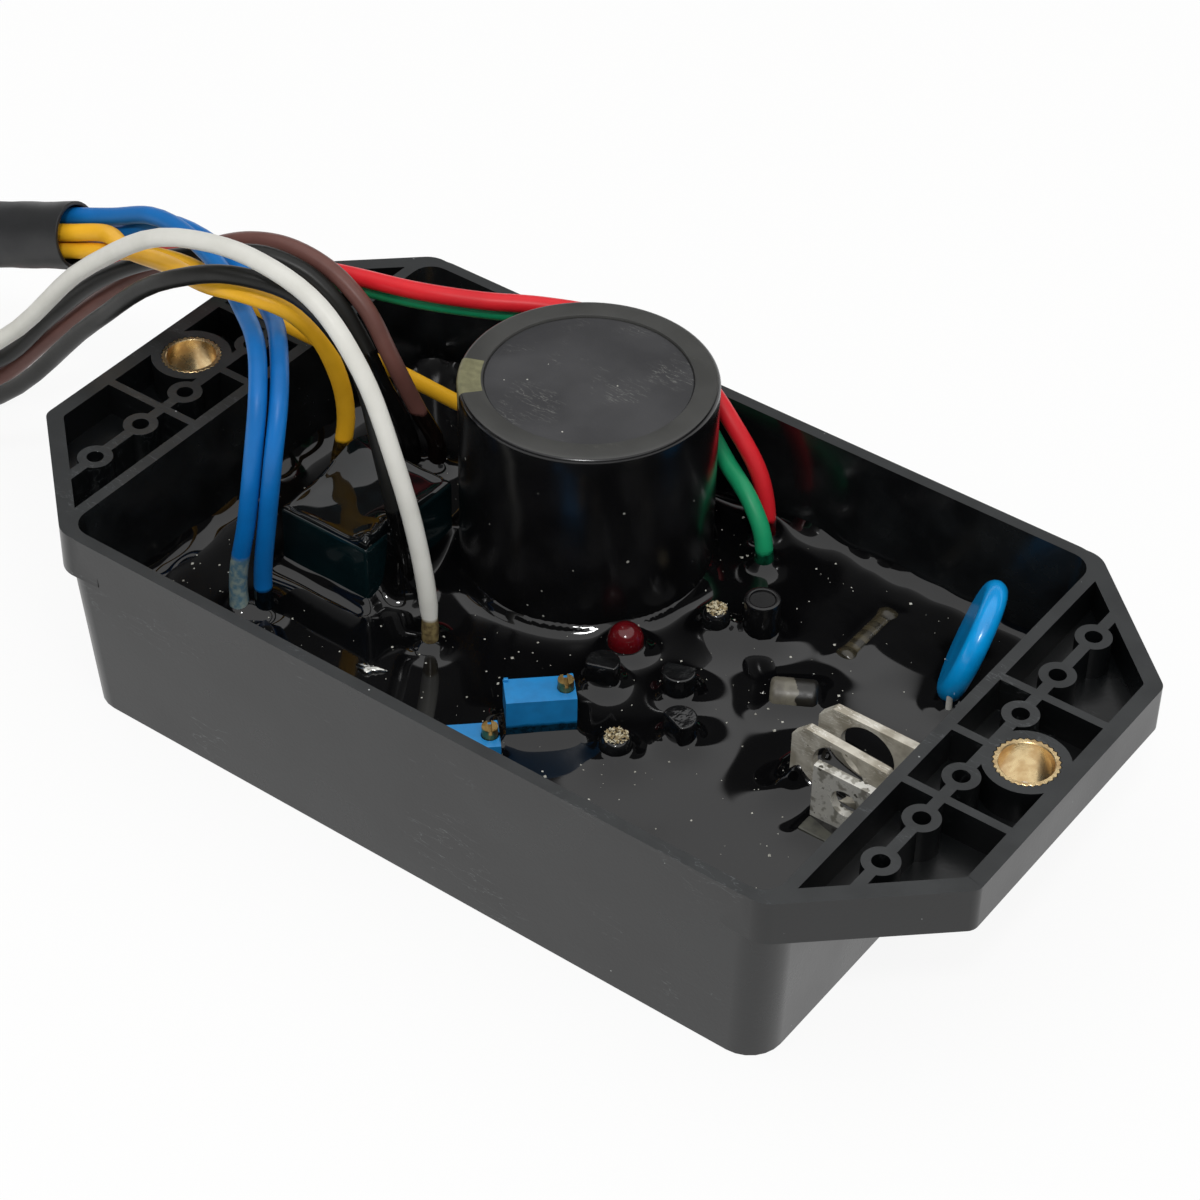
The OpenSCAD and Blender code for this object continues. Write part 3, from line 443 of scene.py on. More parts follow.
# Bright tin of the small tab, mottled by dried resin.
TAB_BRIGHT = Finish("copper_tinned_bright", "#dbd9d1", 0.34, shade="#9b988e", mottle_mm=1.4,
                    mottle=(0.52, 0.6), spread=0.1, metallic=0.4, grain_mm=0.5,
                    grain_height_mm=0.02, speck="#5a574d", speck_mm=0.8, speck_size=0.5,
                    speck_share=0.35)
# Tinned wire: bright grey, dulled by a thin oxide, so mostly pale skin.
WIRE_TIN = Finish("copper_wire_tinned", "#e2e1da", 0.32, shade="#c6c5be", mottle_mm=1.0,
                  spread=0.08, metallic=0.15)
# Splash of solder: bright, wrinkled tin.
SOLDER_TIN = Finish("solder_splashed", "#d6d6d2", 0.2, shade="#9a9994", mottle_mm=0.8, spread=0.1,
                    metallic=1.0, wave_mm=0.7, wave_height_mm=0.1)
# Glass-cloth laminate with green mask.
BOARD_FR4 = Finish("laminate_masked_green", "#1d5a34", 0.35, shade="#184d2c", mottle_mm=3.0,
                   grain_mm=0.5, grain_height_mm=0.01)
# Nylon of the connectors: off-white, slightly waxy.
PLUG_NYLON = Finish("nylon_moulded_natural", "#e0dccb", 0.4, shade="#d5d0bc", mottle_mm=5.0,
                    spread=0.06, ior=1.53, subsurface=0.1, grain_mm=0.4, grain_height_mm=0.01)
# Stamped brass of the terminals.
TERMINAL_BRASS = Finish("brass_stamped", "#c4ab72", 0.3, shade="#a58c55", mottle_mm=1.0,
                        spread=0.08, metallic=1.0)
# Shrink tube over the leads: matt black, faintly ribbed by the leads under it.
SLEEVE_PVC = Finish("polyolefin_tube_black", "#1d1e1f", 0.46, shade="#17181a", mottle_mm=6.0,
                    spread=0.08, grain_mm=0.4, grain_height_mm=0.012,
                    scuff=Scuff("#3d3f40", 6.0, 0.006, 0.35))
# Pale grey grains on the resin: painted glints of small bubbles in its skin.
GLINT_GRAINS = Finish("grains_painted_glint_grey", "#c6c5bb", 0.7, shade="#8f8d83", mottle_mm=0.5)


def lead_finish(name: str, colour: str, shade: str, dip: Dip | None = None) -> Finish:
    """Give the finish of one lead: extruded PVC, satin, with a slow drift of tone.

    Args:
        name: Name of the colour.
        colour: Colour of the insulation.
        shade: Slightly darker tone it drifts to.
        dip: Resin on its lower end.

    Returns:
        The finish.
    """
    return Finish("pvc_extruded_" + name, colour, 0.4, shade=shade, mottle_mm=7.0, spread=0.06,
                  ior=1.52, gloss=0.3, grain_mm=0.6, grain_height_mm=0.012, dip=dip)


def lowest(node: str) -> Vector:
    """Give a node's lowest corner."""
    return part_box(node)[0] / MM


def highest(node: str) -> Vector:
    """Give a node's highest corner."""
    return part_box(node)[1] / MM


def middle(node: str) -> Vector:
    """Give the middle of a node's box."""
    return (lowest(node) + highest(node)) / 2


def foot(node: str) -> Matrix:
    """Give the move from the origin to the middle of a node's underside."""
    return Matrix.Translation((middle(node).x, middle(node).y, lowest(node).z))


def turned(degrees: float, axis: str) -> Matrix:
    """Give the turn by an angle about an axis of the frame."""
    return Matrix.Rotation(math.radians(degrees), 4, axis)


def arc(centre: Pair, radius: float, start: float, end: float, count: int) -> list[Pair]:
    """Give points along an arc.

    Args:
        centre: Its centre.
        radius: Its radius.
        start: Angle of the first point, in degrees.
        end: Angle of the last point, in degrees.
        count: Number of points.

    Returns:
        The points.
    """
    x, y = centre
    angles = np.linspace(math.radians(start), math.radians(end), count)
    return [(x + radius * math.cos(a), y + radius * math.sin(a)) for a in angles]


def oblong(half: Pair, x: float = 0, y: float = 0) -> list[Pair]:
    """Give the corners of an oblong about a point, anticlockwise."""
    u, v = half
    return [(x - u, y - v), (x + u, y - v), (x + u, y + v), (x - u, y + v)]


@dataclass
class Shape:
    """Vertices and faces of one piece, with the number of each face's finish."""

    verts: list[Vector] = field(default_factory=list)
    faces: list[tuple[int, ...]] = field(default_factory=list)
    slots: list[int] = field(default_factory=list)

    def add(self, verts: Iterable[Sequence[float]], faces: Iterable[Sequence[int]],
            slot: int = 0) -> "Shape":
        """Add vertices, and faces that count from the first of them.

        Args:
            verts: Points.
            faces: Faces.
            slot: Number of the finish.

        Returns:
            This shape.
        """
        base = len(self.verts)
        self.verts += [Vector(v) for v in verts]
        new = [tuple(base + i for i in f) for f in faces]
        self.faces += new
        self.slots += [slot] * len(new)
        return self

    def join(self, other: "Shape", slot: int | None = None) -> "Shape":
        """Add another shape.

        Args:
            other: Shape to add.
            slot: Finish for all of it, or None to keep its own numbers.

        Returns:
            This shape.
        """
        base = len(self.verts)
        self.verts += other.verts
        self.faces += [tuple(base + i for i in f) for f in other.faces]
        self.slots += other.slots if slot is None else [slot] * len(other.faces)
        return self

    def move(self, matrix: Matrix) -> "Shape":
        """Move all vertices by a matrix."""
        self.verts = [matrix @ v for v in self.verts]
        return self

    @staticmethod
    def lathe(profile: Sequence[Pair], sides: int = 64,
              slots: Sequence[int] | None = None) -> "Shape":
        """Turn a profile about the Z axis.

        Args:
            profile: Radius and height of each point, from bottom to top; radius 0 closes an end.
            sides: Number of sides.
            slots: Finish of each band between two points.

        Returns:
            The turned shape.
        """
        shape = Shape()
        rings: list[list[int]] = []
        for r, z in profile:
            if r <= AXIS_MM:
                shape.verts.append(Vector((0, 0, z)))
                rings.append([len(shape.verts) - 1] * sides)
            else:
                start = len(shape.verts)
                turns = [2 * math.pi * i / sides for i in range(sides)]
                shape.verts += [Vector((r * math.cos(a), r * math.sin(a), z)) for a in turns]
                rings.append(list(range(start, start + sides)))
        for k in range(len(rings) - 1):
            for i in range(sides):
                j = (i + 1) % sides
                ids = [rings[k][i], rings[k][j], rings[k + 1][j], rings[k + 1][i]]
                face = tuple(dict.fromkeys(ids))
                if len(face) > 2:
                    shape.faces.append(face)
                    shape.slots.append(slots[k] if slots else 0)
        return shape

    @staticmethod
    def tube(path: Sequence[Vector], radii: Sequence[float], sides: int = 14) -> "Shape":
        """Sweep a circle along a path, with flat ends.

        Args:
            path: Points of the centreline.
            radii: Radius at each point.
            sides: Number of sides.

        Returns:
            The closed tube.
        """
        last = len(path) - 1
        turns = [2 * math.pi * j / sides for j in range(sides)]
        shape = Shape()
        side = None
        for i, p in enumerate(path):
            t = (path[min(i + 1, last)] - path[max(i - 1, 0)]).normalized()
            if i == 0 or i == last:
                t = (path[1] - path[0] if i == 0 else path[last] - path[last - 1]).normalized()
            side = (t.cross(ASIDE) if side is None else side - side.dot(t) * t).normalized()
            up = t.cross(side)
            shape.verts += [p + radii[i] * (math.cos(a) * side + math.sin(a) * up) for a in turns]
        for i in range(last):
            for j in range(sides):
                k = (j + 1) % sides
                shape.faces.append((i * sides + j, i * sides + k, (i + 1) * sides + k,
                                    (i + 1) * sides + j))
        shape.faces.append(tuple(range(sides - 1, -1, -1)))
        shape.faces.append(tuple(range(last * sides, (last + 1) * sides)))
        shape.slots = [0] * len(shape.faces)
        return shape

    @staticmethod
    def prism(outline: Sequence[Pair], bottom: float, top: float) -> "Shape":
        """Raise an outline.

        Args:
            outline: Corners, counter-clockwise from above.
            bottom: Height of the lower face.
            top: Height of the upper face.

        Returns:
            The closed prism.
        """
        n = len(outline)
        verts = [(x, y, z) for z in (bottom, top) for x, y in outline]
        sides = [(i, (i + 1) % n, n + (i + 1) % n, n + i) for i in range(n)]
        return Shape().add(verts, [tuple(range(n - 1, -1, -1)), tuple(range(n, 2 * n)), *sides])

    @staticmethod
    def grid(nx: int, ny: int) -> tuple[list[tuple[int, ...]], list[int]]:
        """Number the faces and the rim of a sheet of points, counted row by row.

        Args:
            nx: Points in a row.
            ny: Rows.

        Returns:
            Its faces, and the points round its rim.
        """
        starts = [j * nx + i for j in range(ny - 1) for i in range(nx - 1)]
        faces = [(k, k + 1, k + nx + 1, k + nx) for k in starts]
        right, left = range(2 * nx - 1, nx * ny, nx), range((ny - 2) * nx, 0, -nx)
        back = range(nx * ny - 2, nx * (ny - 1) - 1, -1)
        return faces, [*range(nx), *right, *back, *left]

    @staticmethod
    def grain(at: Point, size: float, flat: float, draw: random.Random) -> "Shape":
        """Make one angular grain.

        Args:
            at: Its middle.
            size: Its mean radius.
            flat: Its height against its width.
            draw: Seeded source of its irregular shape.

        Returns:
            The closed grain.
        """
        ways = [(1, 0, 0), (0, 1, 0), (-1, 0, 0), (0, -1, 0), (0, 0, flat), (0, 0, -flat)]
        verts = []
        for way in ways:
            r = size * draw.uniform(*GRAIN_SPAN)
            verts.append(tuple(at[i] + r * way[i] for i in range(3)))
        upper = [(0, 1, 4), (1, 2, 4), (2, 3, 4), (3, 0, 4)]
        lower = [(1, 0, 5), (2, 1, 5), (3, 2, 5), (0, 3, 5)]
        return Shape().add(verts, upper + lower)

    @staticmethod
    def of_node(node: str) -> "Shape":
        """Copy a node's solid, with its flat faces whole again.

        Args:
            node: Name of the CAD node.

        Returns:
            The copy.
        """
        bm = bmesh.new()
        bm.from_mesh(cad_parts[node].data)
        bmesh.ops.scale(bm, vec=(1 / MM, 1 / MM, 1 / MM), verts=bm.verts)
        bmesh.ops.remove_doubles(bm, verts=bm.verts, dist=CAD_WELD_MM)
        flat = math.radians(CAD_FLAT_DEG)
        bmesh.ops.dissolve_limit(bm, angle_limit=flat, verts=bm.verts, edges=bm.edges)
        bm.verts.index_update()
        shape = Shape().add([v.co for v in bm.verts],
                            [[v.index for v in f.verts] for f in bm.faces])
        bm.free()
        return shape

    def piece(self, name: str, finishes: Sequence[Finish], replaces: Sequence[str] = (),
              slot: str | None = None, body: str = BODY, round_mm: float = 0.0, steps: int = 2,
              crease: float = 35.0,
              slot_of: Callable[[bmesh.types.BMFace], int] | None = None) -> bpy.types.Object:
        """Make the Blender object.

        Args:
            name: Name of the piece.
            finishes: Finishes by number.
            replaces: CAD nodes that it stands for.
            slot: Material slot of the record; not used.
            body: CAD body that it rides on.
            round_mm: Radius of its sharp edges.
            steps: Faces across a rounded edge.
            crease: Angle in degrees from which an edge stays sharp.
            slot_of: Gives the number of a face's finish after rounding.

        Returns:
            The new object.
        """
        bm = bmesh.new()
        corners = [bm.verts.new(v) for v in self.verts]
        for ids, number in zip(self.faces, self.slots):
            try:
                bm.faces.new([corners[i] for i in ids]).material_index = number
            except ValueError:
                continue
        bmesh.ops.remove_doubles(bm, verts=bm.verts, dist=WELD_MM)
        bmesh.ops.recalc_face_normals(bm, faces=bm.faces)
        if round_mm:
            inner = [e for e in bm.edges if len(e.link_faces) == 2]
            sharp = [e for e in inner if e.calc_face_angle() > math.radians(crease)]
            bmesh.ops.bevel(bm, geom=sharp, offset=round_mm, segments=steps, profile=0.5,
                            affect="EDGES", clamp_overlap=True)
        if slot_of:
            for f in bm.faces:
                f.material_index = slot_of(f)
        bmesh.ops.scale(bm, vec=(MM, MM, MM), verts=bm.verts)
        mesh = bpy.data.meshes.new(name)
        bm.to_mesh(mesh)
        bm.free()
        mesh.shade_smooth()
        mesh.set_sharp_from_angle(angle=math.radians(crease))
        for finish in finishes:
            mesh.materials.append(finish.material())
        piece = bpy.data.objects.new(name, mesh)
        bpy.context.scene.collection.objects.link(piece)
        if round_mm:
            piece.modifiers.new("flat_faces", "WEIGHTED_NORMAL").keep_sharp = True
        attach(piece, body)
        if replaces:
            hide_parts(*replaces)
        log.info("piece %s: %d faces", name, len(mesh.polygons))
        return piece


def dress(node: str, finish: Finish) -> None:
    """Give a CAD node that stays its finish.

    Args:
        node: Name of the CAD node.
        finish: Its finish.
    """
    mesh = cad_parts[node].data
    mesh.materials.clear()
    mesh.materials.append(finish.material())
    log.info("node %s dressed", node)


@dataclass(frozen=True)
class Lamp:
    """One round lamp: place and diameter in metres, power in watts, and whether gloss shows it."""

    name: str
    place: Point
    size: float
    power: float
    mirrored: bool


@dataclass
class Studio:
    """Camera at the photograph's viewing angle, two lamps, a pale floor and the world.

    Gloss sees the world as a bright ceiling over a dark band, with a white backdrop under them.
    """

    azimuth: float = 35.646
    elevation: float = 41.017
    roll: float = 1.147
    target: Point = (-10.531, 19.529, 1.93)
    distance: float = 481.2
    lens: float = 98.955
    sensor: float = 36.0
    nearest: float = 0.01
    lamps: tuple[Lamp, ...] = (Lamp("key", (0.40, -0.70, 1.15), 0.16, 5.0, True),
                               Lamp("fill", (0.80, -0.42, 1.07), 0.30, 1.7, False))
    aim: Point = (0, 0, 0.01)
    ceiling: float = 1.0
    ceiling_gloss: float = 1.2
    band: float = 0.05
    band_soft: float = 0.5
    backdrop: Pair = (0.22, 0.3)
    edge: Pair = (0.666, 0.716)
    edge_turn: float = 122.0
    edge_run: float = 0.047
    edge_soft: float = 0.006
    floor_half: float = 4.0
    floor_at: float = -0.0002
    paper: str = "#f2f2f0"
    paper_roughness: float = 0.9
    paper_glow: float = 0.9

    def camera(self) -> None:
        """Place the camera."""
        a, e, r = (math.radians(v) for v in (self.azimuth, self.elevation, self.roll))
        back = Vector((math.sin(a) * math.cos(e), -math.cos(a) * math.cos(e), math.sin(e)))
        right = Vector((math.cos(a), math.sin(a), 0))
        up = back.cross(right)
        cos, sin = math.cos(r), math.sin(r)
        right, up = cos * right + sin * up, cos * up - sin * right
        data = bpy.data.cameras.new("camera")
        data.lens = self.lens
        data.sensor_width = self.sensor
        data.clip_start = self.nearest
        eye = bpy.data.objects.new("camera", data)
        place = Matrix.Translation((Vector(self.target) + self.distance * back) * MM)
        eye.matrix_world = place @ Matrix((right, up, back)).transposed().to_4x4()
        bpy.context.scene.collection.objects.link(eye)
        bpy.context.scene.camera = eye

    def hang(self, lamp: Lamp) -> None:
        """Hang one lamp so that it faces the object.

        Args:
            lamp: The lamp.
        """
        data = bpy.data.lights.new(lamp.name, "AREA")
        data.shape = "DISK"
        data.size = lamp.size
        data.energy = lamp.power
        made = bpy.data.objects.new(lamp.name, data)
        made.location = lamp.place
        made.visible_glossy = lamp.mirrored
        facing = Vector(self.aim) - Vector(lamp.place)
        made.rotation_euler = facing.to_track_quat("-Z", "Y").to_euler()
        bpy.context.scene.collection.objects.link(made)

    def lights(self) -> None:
        """Hang the lamps and set the world, which is white to the camera and lights the object."""
        for lamp in self.lamps:
            self.hang(lamp)
        world = bpy.data.worlds.new("studio")
        world.use_nodes = True
        tree = world.node_tree
        way = add_node(tree, "TexCoord").outputs["Generated"]
        turn = math.radians(self.edge_turn)
        to_left = (-math.sin(turn), math.cos(turn), 0)
        left = add_node(tree, "VectorMath", {0: way, 1: to_left},
                        operation="DOT_PRODUCT").outputs["Value"]
        tilt = {0: left, 1: 0.0, 2: self.edge_run, 3: self.edge[0], 4: self.edge[1]}
        edge = add_node(tree, "MapRange", tilt).outputs[0]
        up = add_node(tree, "SeparateXYZ", {0: way}).outputs["Z"]
        over = add_node(tree, "Math", {0: up, 1: edge}, operation="SUBTRACT").outputs[0]
        ray = add_node(tree, "LightPath")
        glossy = ray.outputs["Is Glossy Ray"]
        low = add_node(tree, "MapRange", {0: glossy, 3: self.band_soft, 4: self.band}).outputs[0]
        high = add_node(tree, "MapRange",
                        {0: glossy, 3: self.ceiling, 4: self.ceiling_gloss}).outputs[0]
        step = {0: over, 1: -self.edge_soft, 2: self.edge_soft, 3: low, 4: high}
        sky = add_node(tree, "MapRange", step).outputs[0]
        fade = {0: up, 1: self.backdrop[0], 2: self.backdrop[1], 3: 1.0, 4: 0.0}
        near = add_node(tree, "MapRange", fade).outputs[0]
        behind = add_node(tree, "Math", {0: glossy, 1: near}, operation="MULTIPLY").outputs[0]
        rays = {0: ray.outputs["Is Camera Ray"], 1: ray.outputs["Is Transmission Ray"]}
        seen = add_node(tree, "Math", rays, operation="MAXIMUM").outputs[0]
        seen = add_node(tree, "Math", {0: seen, 1: behind}, operation="MAXIMUM").outputs[0]
        level = add_node(tree, "MapRange", {0: seen, 3: sky, 4: 1.0}).outputs[0]
        tree.nodes["Background"].inputs["Color"].default_value = (1, 1, 1, 1)
        tree.links.new(level, tree.nodes["Background"].inputs["Strength"])
        bpy.context.scene.world = world

    def floor(self) -> None:
        """Lay the floor: white paper that keeps a faint shadow."""
        mesh = bpy.data.meshes.new("floor")
        half, z = self.floor_half, self.floor_at
        corners = [(-half, -half, z), (half, -half, z), (half, half, z), (-half, half, z)]
        mesh.from_pydata(corners, [], [(0, 1, 2, 3)])
        made = bpy.data.materials.new("paper_white_matt")
        made.use_nodes = True
        tree = made.node_tree
        paper = tree.nodes["Principled BSDF"]
        paper.inputs["Base Color"].default_value = linear(self.paper)
        paper.inputs["Roughness"].default_value = self.paper_roughness
        ray = add_node(tree, "LightPath")
        rays = {0: ray.outputs["Is Camera Ray"], 1: ray.outputs["Is Glossy Ray"]}
        seen = add_node(tree, "Math", rays, operation="MAXIMUM").outputs[0]
        rays = {0: seen, 1: ray.outputs["Is Transmission Ray"]}
        seen = add_node(tree, "Math", rays, operation="MAXIMUM").outputs[0]
        share = add_node(tree, "Math", {0: seen, 1: self.paper_glow},
                         operation="MULTIPLY").outputs[0]
        glow = add_node(tree, "Emission", {"Color": (1, 1, 1, 1), "Strength": 1.0}).outputs[0]
        mixed = add_node(tree, "MixShader", {0: share, 1: paper.outputs[0], 2: glow}).outputs[0]
        tree.links.new(mixed, tree.nodes["Material Output"].inputs["Surface"])
        mesh.materials.append(made)
        sheet = bpy.data.objects.new("floor", mesh)
        bpy.context.scene.collection.objects.link(sheet)

    def build(self) -> None:
        """Set up the whole studio."""
        self.camera()
        self.lights()
        self.floor()
        bpy.context.scene.view_settings.view_transform = "Standard"


class Way(Enum):
    """How a lead runs on from the tray: through the sleeve, or loose."""

    SLEEVED = "sleeved"
    LOOSE = "loose"


@dataclass
class Lead:
    """One lead: its route out of the tray and its place in sleeve and connector."""

    name: str
    finish: Finish
    slot: str
    way: Way
    start: Sequence[Point]
    column: int
    row: int
    across: Pair = (0, 0)
    diameter: float = 2.6
    foot: float = 0.25
    foot_from: float = 0.3
    foot_reach: float = 1.2
    bare: float = 0.0
    bare_share: float = 0.84
    bead: float = 0.1
    tray_from: float = -60.0

    def radius(self, at: Vector, resin: float) -> float:
        """Give the radius, which swells where resin crept up and shrinks where the end is stripped.

        Args:
            at: Point on the centreline.
            resin: Level of the resin.

        Returns:
            Radius there.
        """
        rise = at.z - resin
        if at.x < self.tray_from:
            return self.diameter / 2
        if rise < self.bare:
            bead = self.bead * math.sin(math.pi * max(0.0, rise) / self.bare)
            return self.diameter / 2 * (self.bare_share + bead)
        creep = math.exp(-max(0.0, rise) / self.foot_reach) * (rise > self.foot_from)
        return self.diameter / 2 * (1 + self.foot * creep)


@dataclass
class Harness:
    """Ten leads, the sleeve over four of them and the two connectors at their ends."""

    resin: float = 14.0
    step: float = 1.36
    sleeve_at: Point = (-91.6, 0.6, 42.3)
    sleeve_to: Point = (-0.94, -0.19, -0.28)
    sleeve_length: float = 45.0
    sleeve_out: float = 4.88
    sleeve_in: float = 4.4
    sleeve_run: float = 6.0
    sleeve_rings: int = 24
    flare: float = 0.12
    flare_reach: float = 1.2
    ripple: float = 0.05
    ripple_turn: float = 0.9
    four_at: Pair = (-178, 5)
    six_at: Pair = (-150, -22)
    sleeved_bend: Point = (24, -6, 10)
    loose_bend: Point = (18, 3, 0.4)
    straight_in: Point = (8, 0, 0)
    pitch: float = 4.2
    margin: float = 1.1
    ribs: int = 4
    rib_first: float = 1.6
    rib_pitch: float = 1.5
    rib_half: Pair = (0.35, 0.25)
    rib_short: float = 1.2

    def leads(self) -> list[Lead]:
        """Give the leads with the route points of their solids."""
        z = self.resin
        left, right = lowest("relay").x, highest("relay").x
        blue = ("#0a6eba", "#0966ad")
        yellow = ("#f9bc2a", "#edb022")
        black = ("#1c1c1a", "#161614")
        white, brown = ("#dddcd5", "#d3d2ca"), ("#704b44", "#63413b")
        red, green = ("#e0262f", "#d2202a"), ("#1d9c69", "#198f5f")
        return [
            Lead("lead_blue_left",
                 lead_finish("blue_left", *blue, Dip(25.0, "#55788a", "#8b9a94", 0.4, 1.0)),
                 "pvc_blue", Way.SLEEVED,
                 [(-41, -24, z), (-41, -24, z + 5), (-39, -23.5, 31), (-38.5, -22, 41),
                  (-40.3, -18.4, 48), (-44.9, -13, 50.4), (-54.3, -5.4, 49.4), (-66.2, 1.1, 49.7),
                  (-79.9, 4.1, 48.8)],
                 1, 1, (-1.3, 1.6)),
            Lead("lead_blue_right",
                 lead_finish("blue_right", *blue, Dip(18.8, "#07090b", "#0a1218", 0.06, 0.5)),
                 "pvc_blue", Way.SLEEVED,
                 [(-38.2, -22, z), (-38.2, -22, z + 5), (-36.6, -22, 31.3), (-36, -20.8, 41),
                  (-38.2, -16.5, 47.7), (-43.3, -10.4, 49.6), (-52.4, -1.9, 47.6),
                  (-66.5, 4.6, 47.9), (-81.4, 5.8, 46)],
                 1, 0, (-1.75, -0.75)),
            Lead("lead_yellow",
                 lead_finish("yellow", *yellow, Dip(27.2, "#3c2c0c", "#1f1606", 0.1, 0.6)),
                 "pvc_yellow", Way.SLEEVED,
                 [(left - 2.2, 2, z), (left - 2.2, 2, z + 6), (-43.2, 2.6, 30.5), (-42.5, 0, 41.2),
                  (-43.2, -3.1, 48.7), (-45.8, -6.1, 53.4), (-50.9, -8.4, 54.9),
                  (-57.4, -8.2, 53.4), (-67.7, -5.4, 50.8), (-78.9, -2.5, 47.2)],
                 0, 1, (0.75, 0.8)),
            Lead("lead_yellow_thin",
                 lead_finish("yellow_thin", *yellow, Dip(17.0, "#3a2d0e", "#241b08", 0.12, 0.8)),
                 "pvc_yellow", Way.SLEEVED,
                 [(-38.2, 29.1, z), (-38.2, 29.1, z + 2.4), (-42, 25.7, 19.9), (-46.6, 21.5, 24.4),
                  (-50.3, 17.5, 28.5), (-52.9, 13, 32.2), (-56.1, 8.2, 36.7), (-60.5, 5.3, 40.2),
                  (-66.4, 3.9, 42.8), (-72.6, 3.3, 43.9), (-79.8, 2.3, 43.2)],
                 0, 0, (1.1, -1.2), 2.4),
            Lead("lead_white",
                 lead_finish("white", *white, Dip(19.4, "#5a4c34", "#857650", 0.3, 0.25)),
                 "pvc_white", Way.LOOSE,
                 [(-15.5, -13.5, z), (-15.5, -13.5, z + 5), (-17.8, -12.8, 30.3),
                  (-21.9, -12.3, 42.5), (-28.1, -11.2, 53.9), (-35.4, -10.4, 60.6),
                  (-47.9, -9.9, 63.1), (-61.1, -10, 60.7), (-79.7, -8.6, 47.5), (-101.5, -8, 24),
                  (-118, -13, 12)],
                 1, 1, bare=5.2),
            Lead("lead_black_near",
                 lead_finish("black_near", *black, Dip(30.0, "#070707", "#0b0b0b", 0.06, 1.0)),
                 "pvc_black", Way.LOOSE,
                 [(right + 1.9, -7.3, z), (right + 1.9, -7.3, z + 6), (-25.5, -7.9, 26.9),
                  (-27.8, -7.6, 36.5), (-34.7, -5.9, 51), (-42.7, -6.7, 57.2), (-51.7, -9.8, 58.5),
                  (-61.1, -11.5, 54.7), (-77.3, -11.3, 40.2), (-96, -14, 20), (-114, -19, 10)],
                 0, 1),
            Lead("lead_black_far",
                 lead_finish("black_far", *black, Dip(34.0, "#090909", "#0d0d0d", 0.07, 1.0)),
                 "pvc_black", Way.LOOSE,
                 [(-42.2, 15.6, z), (-42.2, 15.6, z + 4), (-44.1, 15, 23.5), (-46.2, 14.1, 28.4),
                  (-49.1, 13.5, 34.8), (-53.2, 13.1, 40.2), (-57.8, 12.4, 43.5), (-64, 10.4, 45.3),
                  (-71.8, 7.9, 43.3), (-77.8, 6.4, 41.2), (-84.8, 5.6, 37.4), (-92, 4.2, 32.2),
                  (-100.3, 1.4, 23.4), (-108.7, -1.9, 13.7), (-121, -7, 9)],
                 2, 1),
            Lead("lead_brown",
                 lead_finish("brown", *brown, Dip(23.5, "#0c0807", "#120c0a", 0.07, 0.8)),
                 "pvc_brown", Way.LOOSE,
                 [(-39.6, 18.2, z), (-39.6, 18.2, z + 4), (-42.3, 17.5, 23.1), (-45, 15, 32.9),
                  (-49.9, 15.2, 39.8), (-56.5, 15.3, 43.5), (-63.1, 14.7, 44.7),
                  (-69.7, 13.9, 43.5), (-75, 12.8, 41.1), (-79.7, 11.3, 38.1), (-84.8, 9.2, 34.7),
                  (-93.9, 6, 26.9), (-102.1, 2.7, 18.1), (-109.9, -1.4, 9.3), (-121, -13, 4)],
                 0, 0),
            Lead("lead_red",
                 lead_finish("red", *red, Dip(18.6, "#2c0508", "#4c0a10", 0.1, 0.9)),
                 "pvc_red", Way.LOOSE,
                 [(8.5, 33.5, z), (8.5, 33.5, z + 4), (6.8, 33.7, 24.5), (1.5, 34.2, 31),
                  (-6, 35.5, 36), (-14, 36, 38.3), (-21.8, 33.3, 40.2), (-28.4, 28.9, 41.5),
                  (-35.4, 24.4, 41.8), (-43.2, 20.7, 42), (-56.6, 18.6, 40.6), (-65, 17.1, 39.5),
                  (-74.2, 16.1, 38.2), (-84, 14.5, 35.6), (-91.9, 12.7, 31.6), (-99.3, 10, 26.1),
                  (-106.7, 6.4, 17.8), (-114, 0, 9), (-126, -12, 4)],
                 1, 0),
            Lead("lead_green",
                 lead_finish("green", *green, Dip(17.4, "#062a1c", "#0c4630", 0.1, 0.9)),
                 "pvc_green", Way.LOOSE,
                 [(11.5, 28.5, z), (11.5, 28.5, z + 2), (10.7, 28.8, 19.5), (8, 29.8, 22.8),
                  (2, 32.4, 25.4), (-6, 35.7, 29.2), (-14, 36, 33.5), (-22.1, 33.6, 37.3),
                  (-28.9, 29.7, 38.8), (-36.2, 25.6, 39.2), (-44, 22, 39.3), (-57.6, 19.7, 37.9),
                  (-66.1, 18.2, 36.8), (-75.8, 17.7, 35.1), (-85.7, 16.1, 32.4),
                  (-93.8, 14.4, 28.1), (-101.4, 11.7, 22.2), (-109.1, 8.3, 13.6),
                  (-116.7, 2.9, 5.4), (-128, -8, 3.6)],
                 2, 0),
        ]

    def port(self, at: Pair, columns: int, column: int, row: int) -> Vector:
        """Give the place of a way on a connector's rear face.

        Args:
            at: Middle of the rear face's lower edge.
            columns: Number of ways side by side.
            column: Column of the way.
            row: Row of the way, 0 at the bottom.

        Returns:
            The place.
        """
        y = at[1] + (column - (columns - 1) / 2) * self.pitch
        return Vector((at[0], y, self.margin + (row + 0.5) * self.pitch))

    def sleeve_frame(self) -> tuple[Vector, Vector, Vector]:
        """Give the sleeve's own directions: along, across and up."""
        along = Vector(self.sleeve_to).normalized()
        across = Vector((0, 0, 1)).cross(along).normalized()
        return along, across, along.cross(across)

